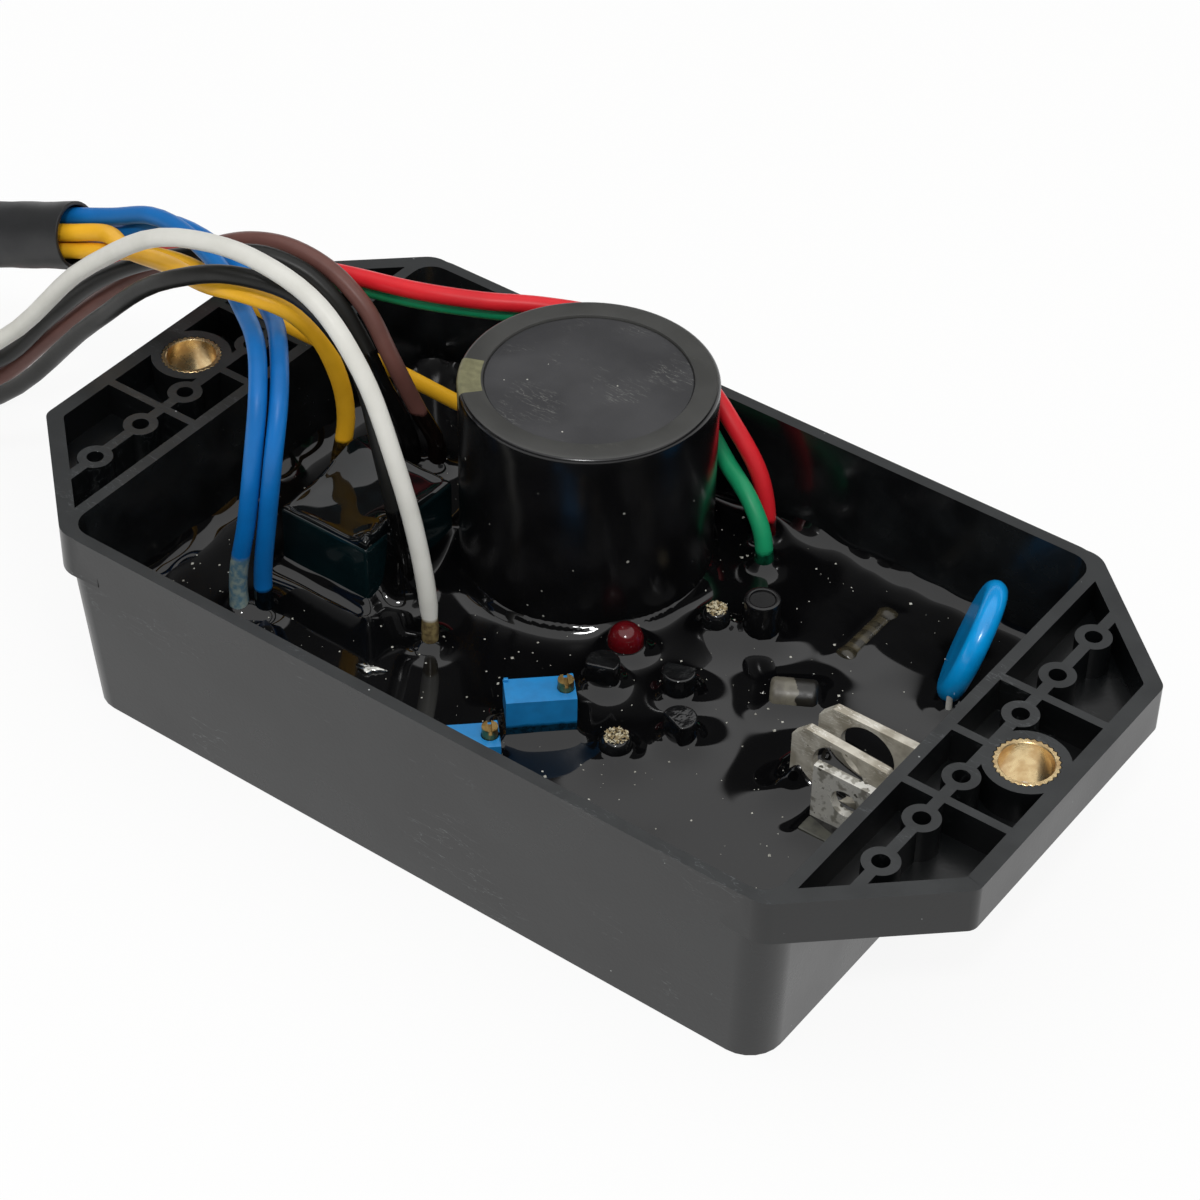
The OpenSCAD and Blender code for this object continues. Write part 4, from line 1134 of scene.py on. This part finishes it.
    def route(self, lead: Lead) -> list[Vector]:
        """Give the points that a lead passes.

        Args:
            lead: The lead.

        Returns:
            Its route from resin to connector.
        """
        points = [Vector(p) for p in lead.start]
        if lead.way is Way.LOOSE:
            end = self.port(self.six_at, 3, lead.column, lead.row)
            bend, straight = end + Vector(self.loose_bend), end + Vector(self.straight_in)
            return points + [bend, straight, end]
        along, across, up = self.sleeve_frame()
        off = Vector(self.sleeve_at) + self.step * (lead.across[0] * across + lead.across[1] * up)
        length, run = self.sleeve_length, self.sleeve_run
        inside = [off + s * along for s in (-run, 0, length / 2, length, length + run)]
        end = self.port(self.four_at, 2, lead.column, lead.row)
        bend, straight = end + Vector(self.sleeved_bend), end + Vector(self.straight_in)
        return points + inside + [bend, straight, end]

    @staticmethod
    def curve(route: Sequence[Vector], steps: int = 6) -> list[Vector]:
        """Draw the smooth curve through route points that the lead's solid follows.

        Args:
            route: Route points.
            steps: Steps from one point to the next.

        Returns:
            Points of the curve.
        """
        spans = [b - a for a, b in zip(route, route[1:])]
        units = [s.normalized() for s in spans]
        ways = [units[0]]
        for i in range(1, len(route) - 1):
            before, after = spans[i - 1].length, spans[i].length
            ways.append((units[i - 1] * after + units[i] * before) / (before + after))
        ways.append(units[-1])
        drawn = []
        for i, span in enumerate(spans):
            for j in range(steps):
                t = j / steps
                bend = ways[i] * t * (1 - t) ** 2 - ways[i + 1] * t * t * (1 - t)
                drawn.append(route[i] + span * t * t * (3 - 2 * t) + span.length * bend)
        return drawn + [route[-1]]

    def connector(self, name: str, at: Pair, columns: int) -> bpy.types.Object:
        """Build one connector housing with its latch and grip ribs.

        Args:
            name: Name of its CAD node.
            at: Middle of the rear face's lower edge.
            columns: Number of ways side by side.

        Returns:
            The housing.
        """
        shape = Shape.of_node(name)
        width, top = columns * self.pitch + 2 * self.margin, 2 * self.pitch + 2 * self.margin
        for i in range(self.ribs):
            x = at[0] - self.rib_first - self.rib_pitch * i
            for y in (at[1] - width / 2, at[1] + width / 2):
                rib = Shape.prism(oblong(self.rib_half), self.rib_short, top - self.rib_short)
                shape.join(rib.move(Matrix.Translation((x, y, 0))))
        return shape.piece(name + "_housing", [PLUG_NYLON], [name], "nylon", round_mm=0.2, steps=2)

    def build(self) -> None:
        four = self.connector("connector_four", self.four_at, 2)
        six = self.connector("connector_six", self.six_at, 3)
        for node in ("terminals_four", "terminals_six"):
            dress(node, TERMINAL_BRASS)
        along, across, up = self.sleeve_frame()
        turn = Matrix((across, up, along)).transposed().to_4x4()
        rings = []
        for s in np.linspace(0, self.sleeve_length, self.sleeve_rings):
            ends = (s, self.sleeve_length - s)
            flare = sum(self.flare * math.exp(-gap / self.flare_reach) for gap in ends)
            ripple = self.ripple * math.sin(s * self.ripple_turn)
            rings.append((self.sleeve_out + flare + ripple, s))
        inner = [(self.sleeve_in, s) for s in (self.sleeve_length, self.sleeve_length / 2, 0)]
        profile = [inner[-1], *rings, *inner[:-1], inner[-1]]
        tube = Shape.lathe(profile, sides=40).move(Matrix.Translation(self.sleeve_at) @ turn)
        sleeve = tube.piece("sleeve_tube", [SLEEVE_PVC], ["sleeve"], "pvc_black", round_mm=0.15,
                            crease=50)
        for lead in self.leads():
            path = self.curve(self.route(lead))
            radii = [lead.radius(p, self.resin) for p in path]
            tube = Shape.tube(path, radii, sides=18)
            made = tube.piece(lead.name + "_pvc", [lead.finish], [lead.name], lead.slot)
            ends = [four, sleeve] if lead.way is Way.SLEEVED else [six]


@dataclass
class Case:
    """Moulded tray with ribbed ears and its two knurled inserts."""

    inner_length: float = 57.5
    inner_width: float = 38.95
    draft: float = 1.8
    height: float = 31.0
    edge_round: float = 0.25
    insert_round: float = 0.12
    top_lit_depth: float = 0.3
    top_lit_tilt: float = 0.3
    slack: float = 0.1
    wet_from: float = 1.0
    wet_below: float = 0.5

    def worn(self, face: bmesh.types.BMFace) -> int:
        """Tell which finish a face of the case takes.

        Args:
            face: Face of the finished mesh, in millimetres.

        Returns:
            1 for the inside of the tray, 2 for rims and ribs facing up, painted paler as lit from
            above, 0 for the rest.
        """
        c = face.calc_center_median()
        # Upward faces near the top take the paler nylon: painted light from above on rims and ribs.
        if c.z > self.height - self.top_lit_depth and face.normal.z > self.top_lit_tilt:
            return 2
        close = self.draft * (1 - c.z / self.height) - self.slack
        inside = abs(c.x) < self.inner_length - close and abs(c.y) < self.inner_width - close
        return int(inside and self.wet_from < c.z < self.height - self.wet_below)

    def build(self) -> None:
        """Build the case and its inserts."""
        # Rims and ribs that face up take the paler nylon, which is painted light from above.
        Shape.of_node("case").piece("case_moulding", [CASE_NYLON, CASE_WET, CASE_TOP_LIT], ["case"],
                                    "case_polymer", round_mm=self.edge_round, slot_of=self.worn)
        for side in ("left", "right"):
            node = "mount_insert_" + side
            Shape.of_node(node).piece(node + "_turned", [BRASS_TURNED], [node], "brass_insert",
                                      round_mm=self.insert_round, steps=1)


@dataclass(frozen=True)
class Rise:
    """A block with round corners that resin creeps up, with the creep's height and reach."""

    x: float
    y: float
    height: float
    reach: float
    half_x: float = 0.0
    half_y: float = 0.0
    round: float = 0.0
    turn: float = 0.0

    def gap(self, x: np.ndarray, y: np.ndarray) -> np.ndarray:
        """Give the distance from the block's side.

        Args:
            x: Places along the tray.
            y: Places across the tray.

        Returns:
            Distances, 0 inside.
        """
        c, s = math.cos(math.radians(self.turn)), math.sin(math.radians(self.turn))
        dx, dy = x - self.x, y - self.y
        u = np.maximum(np.abs(dx * c + dy * s) - self.half_x, 0)
        v = np.maximum(np.abs(dy * c - dx * s) - self.half_y, 0)
        return np.maximum(np.hypot(u, v) - self.round, 0)


@dataclass
class Resin:
    """Poured resin: a level skin that creeps up the walls and every part in it, with pale grains on
    it that are painted glints.
    """

    feet: Sequence[Point]
    level: float = 14.0
    floor: float = 2.0
    pitch: float = 0.45
    half_length: float = 56.51
    half_width: float = 37.96
    corner: float = 3.2
    lean: float = 1.8 / 31
    wave: float = 0.07
    wave_mm: float = 15.0
    wave_plane: float = 3.1
    wall_creep: Pair = (1.7, 1.4)
    wall_reach: float = 1.5
    creep_mm: float = 6.0
    creep_plane: float = 8.4
    creep_uneven: float = 0.15
    flecks: int = 420
    fleck_seed: int = 11
    fleck_size: Pair = (0.07, 0.24)
    fleck_flat: float = 0.7
    fleck_clear: float = 0.4
    fleck_half: Pair = (54, 35.5)
    splash: Point = (-18.9, -22.6, 14.15)
    splash_half: Pair = (1.9, 0.95)
    splash_turn: float = 20.0
    splash_rough: float = 0.1
    splash_seed: int = 5

    @staticmethod
    def round_rise(node: str, height: float, reach: float) -> Rise:
        """Give the rise round an upright cylinder."""
        c = middle(node)
        return Rise(c.x, c.y, height, reach, round=(highest(node).x - lowest(node).x) / 2)

    def rises(self) -> list[Rise]:
        """Give everything that the resin creeps up, with the creep's height and reach."""
        relay, small = middle("relay"), middle("device_front")
        resistor, diode, disc = middle("resistor"), middle("diode"), middle("surge_disc")
        right = highest("relay").x
        # In each row: place, height, reach, half sizes, round of the corners, turn.
        found = [self.round_rise("capacitor_can", 1.8, 1.0),
                 self.round_rise("indicator_lamp", 1.3, 1.2),
                 self.round_rise("can_wide", 1.9, 1.7), self.round_rise("can_narrow", 1.8, 1.8),
                 self.round_rise("electrolytic", 1.6, 1.3)]
        found += [self.round_rise("transistor_" + n, 1.5, 1.3) for n in ("left", "middle", "right")]
        found += [Rise(relay.x, relay.y, 2.0, 1.3, 7.75, 9.6),
                  Rise(right + 0.9, -7.3, 8.5, 0.7, 0.9, 0.6, 0.4),
                  Rise(small.x, small.y, 1.0, 1.1, 5.0, 2.1),
                  Rise(resistor.x, resistor.y, 0.15, 1.6, 1.6, 6.4),
                  Rise(diode.x, diode.y, 1.0, 1.5, 3.2, 2.0, 0.2, 30),
                  Rise(disc.x - 0.6, disc.y - 1.5, 0.9, 1.1, 5.2, 1.2, turn=110),
                  Rise(48.82, 18.05, 0.8, 0.8, round=0.5)]
        found += [Rise(middle(n).x, middle(n).y, 1.7, 1.3, 4.75, 2.4, turn=43)
                  for n in ("trimmer_rear", "trimmer_front")]
        for node, turn in (("tab_rear", 0), ("tab_middle", -3.5)):
            c = middle(node)
            found += [Rise(c.x, c.y, 1.9, 2.2, 6.2, 0.7, turn=turn),
                      Rise(lowest(node).x + 1.0, c.y, 2.2, 1.8, 0.5, 0.7)]
        return found + [Rise(x, y, 1.3, 1.0, round=d / 2) for x, y, d in self.feet]

    @staticmethod
    def drift(x: np.ndarray, y: np.ndarray, size: float, plane: float) -> np.ndarray:
        """Give smooth noise at places in the tray.

        Args:
            x: Places along the tray.
            y: Places across the tray.
            size: Size of a patch.
            plane: Level that the noise is cut at.

        Returns:
            Values from -1 to 1.
        """
        return np.vectorize(lambda a, b: noise.noise((a / size, b / size, plane)))(x, y)

    def surface(self, x: np.ndarray, y: np.ndarray) -> np.ndarray:
        """Give the height of the resin's skin.

        Args:
            x: Places along the tray.
            y: Places across the tray.

        Returns:
            Heights over the case bottom.
        """
        qx = np.abs(x) - (self.half_length - self.corner)
        qy = np.abs(y) - (self.half_width - self.corner)
        past = np.hypot(np.maximum(qx, 0), np.maximum(qy, 0))
        wall = self.corner - (past + np.minimum(np.maximum(qx, qy), 0))
        slow = self.drift(x, y, self.wave_mm, self.wave_plane)
        creep = self.drift(x, y, self.creep_mm, self.creep_plane)
        high = self.wall_creep[0] + self.wall_creep[1] * creep
        z = self.wave * slow + high * np.exp(-np.maximum(wall, 0) / self.wall_reach)
        for rise in self.rises():
            high = rise.height * (1 + self.creep_uneven * creep)
            z += high * np.exp(-rise.gap(x, y) / rise.reach)
        return self.level + z

    def skin(self) -> None:
        """Build the resin body, from the case's floor up to its skin."""
        length, width = self.half_length, self.half_width
        nx, ny = int(2 * length / self.pitch) + 1, int(2 * width / self.pitch) + 1
        gx, gy = np.meshgrid(np.linspace(-length, length, nx), np.linspace(-width, width, ny))
        cx, cy = length - self.corner, width - self.corner
        ox, oy = np.abs(gx) - cx, np.abs(gy) - cy
        out = (ox > 0) & (oy > 0) & (np.hypot(ox, oy) > self.corner)
        far = np.where(out, np.hypot(ox, oy), 1)
        gx = np.where(out, np.sign(gx) * (cx + ox / far * self.corner), gx)
        gy = np.where(out, np.sign(gy) * (cy + oy / far * self.corner), gy)
        z = self.surface(gx, gy)
        edge = 1 + (z - self.level) * self.lean / length
        points = zip(gx.ravel(), gy.ravel(), z.ravel(), edge.ravel())
        top = [(x * e, y * e, h) for x, y, h, e in points]
        faces, rim = Shape.grid(nx, ny)
        base = len(top)
        shrink = 1 - (self.level - self.floor) * self.lean / length
        top += [(top[i][0] * shrink, top[i][1] * shrink, self.floor) for i in rim]
        n = len(rim)
        faces += [(rim[i], base + i, base + (i + 1) % n, rim[(i + 1) % n]) for i in range(n)]
        faces.append(tuple(base + n - 1 - i for i in range(n)))
        Shape().add(top, faces).piece("resin_pour", [RESIN_EPOXY], ["potting_resin"],
                                      "potting_resin", crease=75)

    def glint_grains(self) -> None:
        """Scatter pale grains over the open skin, as painted glints of small bubbles."""
        draw = random.Random(self.fleck_seed)
        rises = self.rises()
        shape = Shape()
        length, width = self.fleck_half
        for _ in range(self.flecks):
            x, y = draw.uniform(-length, length), draw.uniform(-width, width)
            size = self.fleck_size[0] + self.fleck_size[1] * draw.random() ** 3
            spot = (np.array([x]), np.array([y]))
            if min(float(r.gap(*spot)[0]) for r in rises) > self.fleck_clear:
                at = (x, y, float(self.surface(*spot)[0]))
                shape.join(Shape.grain(at, size, self.fleck_flat, draw))
        # The grains are painted glints of small bubbles in the resin's skin.
        shape.piece("resin_glint_grains", [GLINT_GRAINS], slot="potting_resin", crease=20)

    def solder(self) -> None:
        """Build the splash of solder that set on the skin by the front wall."""
        draw = random.Random(self.splash_seed)
        rings = [(0.0, -0.25), (0.9, -0.25), (1.0, 0.0), (0.8, 0.34), (0.45, 0.5), (0.0, 0.42)]
        shape = Shape.lathe(rings, sides=26)
        long, wide = self.splash_half
        for v in shape.verts:
            angle = math.atan2(v.y, v.x)
            # Three large lobes and seven small ones.
            lobe = 1 + 0.28 * math.sin(3 * angle + 0.7) + 0.14 * math.sin(7 * angle)
            wrinkle = draw.uniform(-self.splash_rough, self.splash_rough) * (v.z > 0)
            v.x, v.y, v.z = long * v.x * lobe, wide * v.y * lobe, v.z + wrinkle
        shape.move(Matrix.Translation(self.splash) @ turned(self.splash_turn, "Z"))
        shape.piece("solder_splash", [SOLDER_TIN], slot="tinned_tab", crease=60)

    def build(self) -> None:
        """Build the resin and what lies on it."""
        self.skin()
        self.glint_grains()
        self.solder()


@dataclass
class Capacitor:
    """Upright capacitor: shrunk sleeve folded over the can's edge round a recessed end plate."""

    lip: float = 0.8
    fold: tuple[Pair, ...] = ((0.3, 0.01), (0.08, 0.03), (0.02, 0.1), (0.0, 0.9))
    fold_in: float = 0.5
    fold_deep: float = 1.0
    wave: float = 0.06
    wave_turn: float = 0.35
    wave_rings: int = 14
    mark_from: float = 201.0
    mark_to: float = 228.0
    mark_deep: float = 3.4
    mark_in: float = 0.8
    plate_sunk: float = 0.4
    plate_thick: float = 0.5

    def build(self) -> None:
        """Build sleeve and end plate."""
        lo, hi, c = lowest("capacitor_can"), highest("capacitor_can"), middle("capacitor_can")
        plate = highest("capacitor_end_plate").x - middle("capacitor_end_plate").x
        r, height = (hi.x - lo.x) / 2, hi.z - lo.z
        # From below: foot, wall with its shrink waves, lip, fold, and the recess inside it.
        profile = [(0, 0), (r - 0.6, 0), (r - 0.1, 0.5)]
        for z in np.linspace(2, height - 3, self.wave_rings):
            profile.append((r - self.wave * math.sin(z * self.wave_turn) ** 2, z))
        profile += arc((r - self.lip, height - self.lip), self.lip, 0, 90, count=7)
        profile += [(plate + out, height - deep) for out, deep in self.fold]
        profile.append((0, height - self.fold[-1][1]))
        shape = Shape.lathe(profile, sides=96)

        def mark(face: bmesh.types.BMFace) -> int:
            """Tell which finish a face of the sleeve takes.

            Args:
                face: Face of the finished mesh, in millimetres.

            Returns:
                1 for the printed mark, 2 for the fold, painted paler as lit from above, 0 for the
                rest.
            """
            p = face.calc_center_median()
            angle = math.degrees(math.atan2(p.y - c.y, p.x - c.x)) % 360
            out = math.hypot(p.x - c.x, p.y - c.y)
            along = self.mark_from < angle < self.mark_to
            if along and p.z > hi.z - self.mark_deep and out > plate + self.mark_in:
                return 1
            # The fold faces up and takes the paler finish, which is painted light on it.
            return 2 if out < r - self.fold_in and p.z > hi.z - self.fold_deep else 0

        shape.move(foot("capacitor_can")).piece(
            "capacitor_sleeve", [CAP_SLEEVE, CAP_MARK, CAP_FOLD_LIT], ["capacitor_can"],
            "capacitor_sleeve", slot_of=mark, crease=40)
        top = height - self.plate_sunk
        # The plate has a soft edge and is slightly domed.
        rings = [(0, top - self.plate_thick), (plate - 0.05, top - self.plate_thick),
                 (plate - 0.02, top - 0.12), (plate - 0.2, top),
                 (plate * 0.7, top + 0.05), (plate * 0.35, top + 0.08), (0, top + 0.09)]
        Shape.lathe(rings, sides=96).move(foot("capacitor_can")).piece(
            "capacitor_plate", [CAP_PLATE], ["capacitor_end_plate"], "end_plate", crease=30)


@dataclass
class Trimmer:
    """Multi-turn trimmer: moulded body with a collar round its slotted brass screw."""

    name: str
    body: str
    body_round: float = 0.22
    screw_round: float = 0.1
    turn: float = 43.0
    nub_at: Pair = (4.35, 2.05)
    nub_half: Pair = (0.3, 0.25)
    nub_rise: float = 0.4
    nub_sunk: float = 0.2

    def build(self) -> None:
        """Build body, with the two nubs along its far edge, and screw."""
        screw = self.name + "_screw"
        c, top = middle(self.name), highest(self.name).z
        place = Matrix.Translation((c.x, c.y, 0)) @ turned(self.turn, "Z")
        body = Shape.of_node(self.name)
        for u in (-self.nub_at[0], self.nub_at[0]):
            outline = oblong(self.nub_half, u, self.nub_at[1])
            nub = Shape.prism(outline, top - self.nub_sunk, top + self.nub_rise)
            body.join(nub.move(place))
        body.piece(self.name + "_body", [TRIMMER_BLUE], [self.name], "trimmer_blue",
                   round_mm=self.body_round)
        Shape.of_node(screw).piece(screw + "_turned", [BRASS_DULL], [screw], "trimmer_brass",
                                   body=self.body, round_mm=self.screw_round)


@dataclass
class SmallParts:
    """Lamp, transistors, small cans, electrolytic, resistor and diode."""

    lamp_r: float = 2.5
    flange_r: float = 2.9
    flange_top: float = 1.0
    flange_soft: float = 0.1
    transistor_round: float = 0.45
    shoulder: tuple[Pair, ...] = ((1.0, 2.2), (0.93, 1.5), (0.78, 0.95), (0.6, 0.75), (0.0, 0.7))
    grains: int = 260
    grain_area: float = 0.7
    grain_deep: Pair = (0.22, 0.62)
    grain_slope: float = 0.5
    grain_size: Pair = (0.09, 0.22)
    grain_flat: float = 0.9
    crimp: tuple[Pair, ...] = ((0.0, 0.4), (0.15, 0.08), (0.5, 0.0), (0.75, 0.05), (0.85, 0.3))
    rings: int = 53
    waist: float = 0.3
    cap_rise: float = 0.25
    cap_at: float = 1.2
    cap_wide: float = 0.8
    end_soft: float = 0.6
    end_drop: float = 0.6
    least_r: float = 0.2
    bands: tuple[float, ...] = (-3.9, -1.6, 0.7, 3.0)
    band_half: float = 0.55
    diode_r: float = 2.4
    diode_half: float = 3.3
    diode_turn: float = 30.0
    diode_soft: float = 0.8
    diode_plain: float = 2.0
    diode_rings: int = 41
    wet_from: float = 0.3
    wet_ragged: float = 1.2
    wet_patch: float = 0.7

    def lamp(self) -> None:
        """Build the lamp with its dome and flange."""
        h = highest("indicator_lamp").z - lowest("indicator_lamp").z
        r, flange, top, soft = self.lamp_r, self.flange_r, self.flange_top, self.flange_soft
        profile = [(0, 0), (flange - soft, 0), (flange, soft), (flange, top - soft),
                   (flange - soft, top)]
        profile += [(r, top), (r, top + 2 * soft), *arc((0, h - r), r, 0, 90, count=14)]
        Shape.lathe(profile, sides=48).move(foot("indicator_lamp")).piece(
            "lamp_lens", [LAMP_EPOXY], ["indicator_lamp"], "lamp_epoxy", crease=50)

    def transistors(self) -> None:
        """Build the three transistors."""
        for name in ("left", "middle", "right"):
            node = "transistor_" + name
            Shape.of_node(node).piece(node + "_body", [DEVICE_EPOXY], [node], "device_epoxy",
                                      round_mm=self.transistor_round, steps=4)

    def cans(self) -> None:
        """Build the two small cans with cracked tops and the electrolytic."""
        for node, seed in (("can_wide", 4), ("can_narrow", 9)):
            lo, hi, c = lowest(node), highest(node), middle(node)
            r, h = (hi.x - lo.x) / 2, hi.z - lo.z
            profile = [(0, 0), (r, 0), *[(r * share, h - deep) for share, deep in self.shoulder]]
            shape = Shape.lathe(profile, sides=32).move(foot(node))
            draw = random.Random(seed)
            for _ in range(self.grains):
                out = r * self.grain_area * math.sqrt(draw.random())
                angle = draw.uniform(0, 2 * math.pi)
                deep = draw.uniform(*self.grain_deep) + self.grain_slope * (out / r) ** 2
                at = (c.x + out * math.cos(angle), c.y + out * math.sin(angle), hi.z - deep)
                size = draw.uniform(*self.grain_size)
                shape.join(Shape.grain(at, size, self.grain_flat, draw), 1)
            shape.piece(node + "_body", [DEVICE_EPOXY, CAN_GRAINS], [node], "can_sleeve", crease=40)
        lo, hi = lowest("electrolytic"), highest("electrolytic")
        r, h = (hi.x - lo.x) / 2, hi.z - lo.z
        profile = [(0, 0), (r - 0.2, 0), (r, 0.3),
                   *[(r - inset, h - deep) for inset, deep in self.crimp]]
        profile.append((0, h - self.crimp[-1][1]))
        Shape.lathe(profile, sides=40).move(foot("electrolytic")).piece(
            "electrolytic_sleeve", [CAP_SLEEVE], ["electrolytic"], "capacitor_sleeve", crease=45)

    def resistor(self) -> None:
        """Build the resistor with its end caps and bands."""
        c, hi, lo = middle("resistor"), highest("resistor"), lowest("resistor")
        r, half = (hi.x - lo.x) / 2, (hi.y - lo.y) / 2
        profile = [(0, -half)]
        for y in np.linspace(-half, half, self.rings):
            from_end = abs(y) - half
            cap = self.cap_rise * math.exp(-((from_end + self.cap_at) / self.cap_wide) ** 2)
            past = max(0, from_end + self.end_soft) / self.end_soft
            ends = math.sqrt(max(0.0, 1 - past ** 2 * self.end_drop))
            profile.append((max(self.least_r, (r - self.waist + cap) * ends), y))
        profile.append((0, half))
        bands = []
        for _, y in profile[:-1]:
            bands.append(int(min(abs(y - at) for at in self.bands) < self.band_half))
        shape = Shape.lathe(profile, sides=32, slots=bands)
        shape.move(Matrix.Translation(c) @ turned(-90, "X"))
        shape.piece("resistor_body", [RESISTOR_COAT, RESISTOR_BAND], ["resistor"],
                    "resistor_cement", crease=60)

    def diode(self) -> None:
        """Build the diode, lying askew."""
        c, r, half, soft = middle("diode"), self.diode_r, self.diode_half, self.diode_soft
        corner = arc((r - soft, half - soft), soft, 0, 90, count=7)
        # Many rings between the ends, so that the wetted end gets a ragged edge.
        between = [(r, y)
                   for y in np.linspace(-self.diode_plain, self.diode_plain, self.diode_rings)]
        lower = [(p, -y) for p, y in reversed(corner)]
        profile = [(0, -half), *lower, *between, *corner, (0, half)]
        turn = turned(self.diode_turn, "Z") @ turned(90, "Y")
        along = turn.to_3x3() @ Vector((0, 0, 1))

        def wet(face: bmesh.types.BMFace) -> int:
            """Tell which finish a face of the diode takes.

            Args:
                face: Face of the finished mesh, in millimetres.

            Returns:
                1 at the wetted end, 0 for the rest.
            """
            at = face.calc_center_median() - c
            ragged = self.wet_ragged * noise.noise(at * self.wet_patch)
            return int(at.dot(along) > self.wet_from + ragged)

        Shape.lathe(profile, sides=96).move(Matrix.Translation(c) @ turn).piece(
            "diode_body", [DIODE_BODY, DIODE_DARK], ["diode"], "device_epoxy", crease=50,
            slot_of=wet)

    def build(self) -> None:
        """Build all small parts."""
        self.lamp()
        self.transistors()
        self.cans()
        self.resistor()
        self.diode()


@dataclass(frozen=True)
class Tent:
    """Film drawn up to a lead at the relay's side: place along it, height, reach and stretch."""

    y: float
    height: float
    reach: float
    stretch: float

    def rise(self, gap: float, y: float) -> float:
        """Give its height at a gap from the side and a place along it."""
        return self.height * math.exp(-math.hypot(gap, (y - self.y) * self.stretch) / self.reach)


@dataclass
class Relay:
    """Relay block, with the film of resin that hangs from two leads over its top."""

    edge_round: float = 0.5
    pitch: float = 0.4
    inset: float = 0.3
    film: float = 0.12
    film_uneven: float = 0.1
    film_mm: float = 3.5
    film_plane: float = 1.7
    film_least: float = 0.03
    lip: float = 0.3
    lip_least: float = 0.7
    lip_in: float = 0.8
    lip_wide: float = 0.5
    edge_share: float = 0.25
    edge_wide: float = 0.5
    sunk: float = 0.1
    left_tent: Tent = Tent(2.0, 3.4, 2.6, 0.55)
    right_tent: Tent = Tent(-7.3, 2.4, 1.7, 0.7)
    lump_at: Pair = (-28.4, -11.6)
    lump: float = 0.8
    lump_wide: float = 1.1
    lump_grain: float = 1.6
    lump_plane: float = 4.0

    def height(self, x: float, y: float) -> float:
        """Give the film's height over the relay.

        Args:
            x: Place along the tray.
            y: Place across the tray.

        Returns:
            Height over the relay's top.
        """
        lo, hi = lowest("relay"), highest("relay")
        edge = min(x - lo.x, hi.x - x, y - lo.y, hi.y - y)
        drawn = noise.noise((x / self.film_mm, y / self.film_mm, self.film_plane))
        lip = math.exp(-((edge - self.lip_in) / self.lip_wide) ** 2)
        z = self.film + self.film_uneven * drawn + self.lip * (self.lip_least + drawn) * lip
        z += self.left_tent.rise(x - lo.x, y) + self.right_tent.rise(x - hi.x, y)
        near = math.hypot(x - self.lump_at[0], y - self.lump_at[1])
        crust = 1 + noise.noise((x * self.lump_grain, y * self.lump_grain, self.lump_plane))
        z += self.lump * crust * math.exp(-(near / self.lump_wide) ** 2)
        return max(self.film_least, z) * min(1.0, self.edge_share + max(0.0, edge) / self.edge_wide)

    def skin(self) -> None:
        """Build the film as a closed sheet."""
        lo, hi = lowest("relay"), highest("relay")
        nx, ny = int((hi.x - lo.x) / self.pitch), int((hi.y - lo.y) / self.pitch)
        xs = np.linspace(lo.x + self.inset, hi.x - self.inset, nx)
        ys = np.linspace(lo.y + self.inset, hi.y - self.inset, ny)
        upper = [(x, y, hi.z + self.height(x, y)) for y in ys for x in xs]
        under = [(x, y, hi.z - self.sunk) for y in ys for x in xs]
        n = nx * ny
        cells, rim = Shape.grid(nx, ny)
        sides = [(a, n + a, n + b, b) for a, b in zip(rim, rim[1:] + rim[:1])]
        faces = cells + [tuple(n + i for i in reversed(f)) for f in cells] + sides
        Shape().add(upper + under, faces).piece("relay_film", [RESIN_FILM], slot="potting_resin",
                                                crease=70)

    def build(self) -> None:
        """Build block and film."""
        Shape.of_node("relay").piece("relay_block", [RELAY_PBT], ["relay"], "relay_case",
                                     round_mm=self.edge_round, steps=3)
        self.skin()


@dataclass
class SurgeDisc:
    """Dip-coated disc standing askew on two leads."""

    tilt: float = 72.5
    turn: float = 199.6
    radius: float = 9.0
    thick: float = 3.3
    dished: tuple[Pair, ...] = ((0, 0.43), (4, 0.44))

    def build(self) -> None:
        """Build disc and leads."""
        half = self.thick / 2
        under = [(r, -self.thick * share) for r, share in self.dished]
        upper = [(r, self.thick * share) for r, share in reversed(self.dished)]
        profile = [*under, *arc((self.radius - half, 0), half, -90, 90, count=15), *upper]
        turn = turned(self.turn, "Z") @ turned(self.tilt, "Y")
        shape = Shape.lathe(profile, sides=72)
        shape.move(Matrix.Translation(middle("surge_disc")) @ turn)
        shape.piece("surge_disc_coat", [DISC_EPOXY], ["surge_disc"], "disc_epoxy", crease=60)
        dress("surge_disc_leads", WIRE_TIN)


@dataclass
class PowerDevices:
    """Three metal tabs on moulded bodies."""

    tab_round: float = 0.15
    body_round: float = 0.25

    def build(self) -> None:
        """Build tabs and bodies."""
        for name, finish in (("rear", TAB_TIN), ("middle", TAB_TIN), ("front", TAB_BRIGHT)):
            node = "tab_" + name
            Shape.of_node(node).piece(node + "_plate", [finish], [node], "tinned_tab",
                                      round_mm=self.tab_round)
        bodies = (("rear", DEVICE_EPOXY), ("middle", DEVICE_EPOXY), ("front", DEVICE_GREY))
        for name, finish in bodies:
            node = "device_" + name
            Shape.of_node(node).piece(node + "_moulding", [finish], [node], "device_epoxy",
                                      round_mm=self.body_round)


def main() -> None:
    """Build the studio and the regulator, piece by piece."""
    logging.basicConfig(level=logging.INFO, format="%(name)s: %(message)s")
    Studio().build()
    harness = Harness()
    harness.build()
    Case().build()
    Resin([(*lead.start[0][:2], lead.diameter) for lead in harness.leads()]).build()
    Capacitor().build()
    Trimmer("trimmer_rear", "rear_screw").build()
    Trimmer("trimmer_front", "front_screw").build()
    SmallParts().build()
    Relay().build()
    SurgeDisc().build()
    PowerDevices().build()
    dress("circuit_board", BOARD_FR4)
    for node in ("trimmer_pins", "signal_pins", "power_pins"):
        dress(node, WIRE_TIN)


if __name__ == "__main__":
    main()
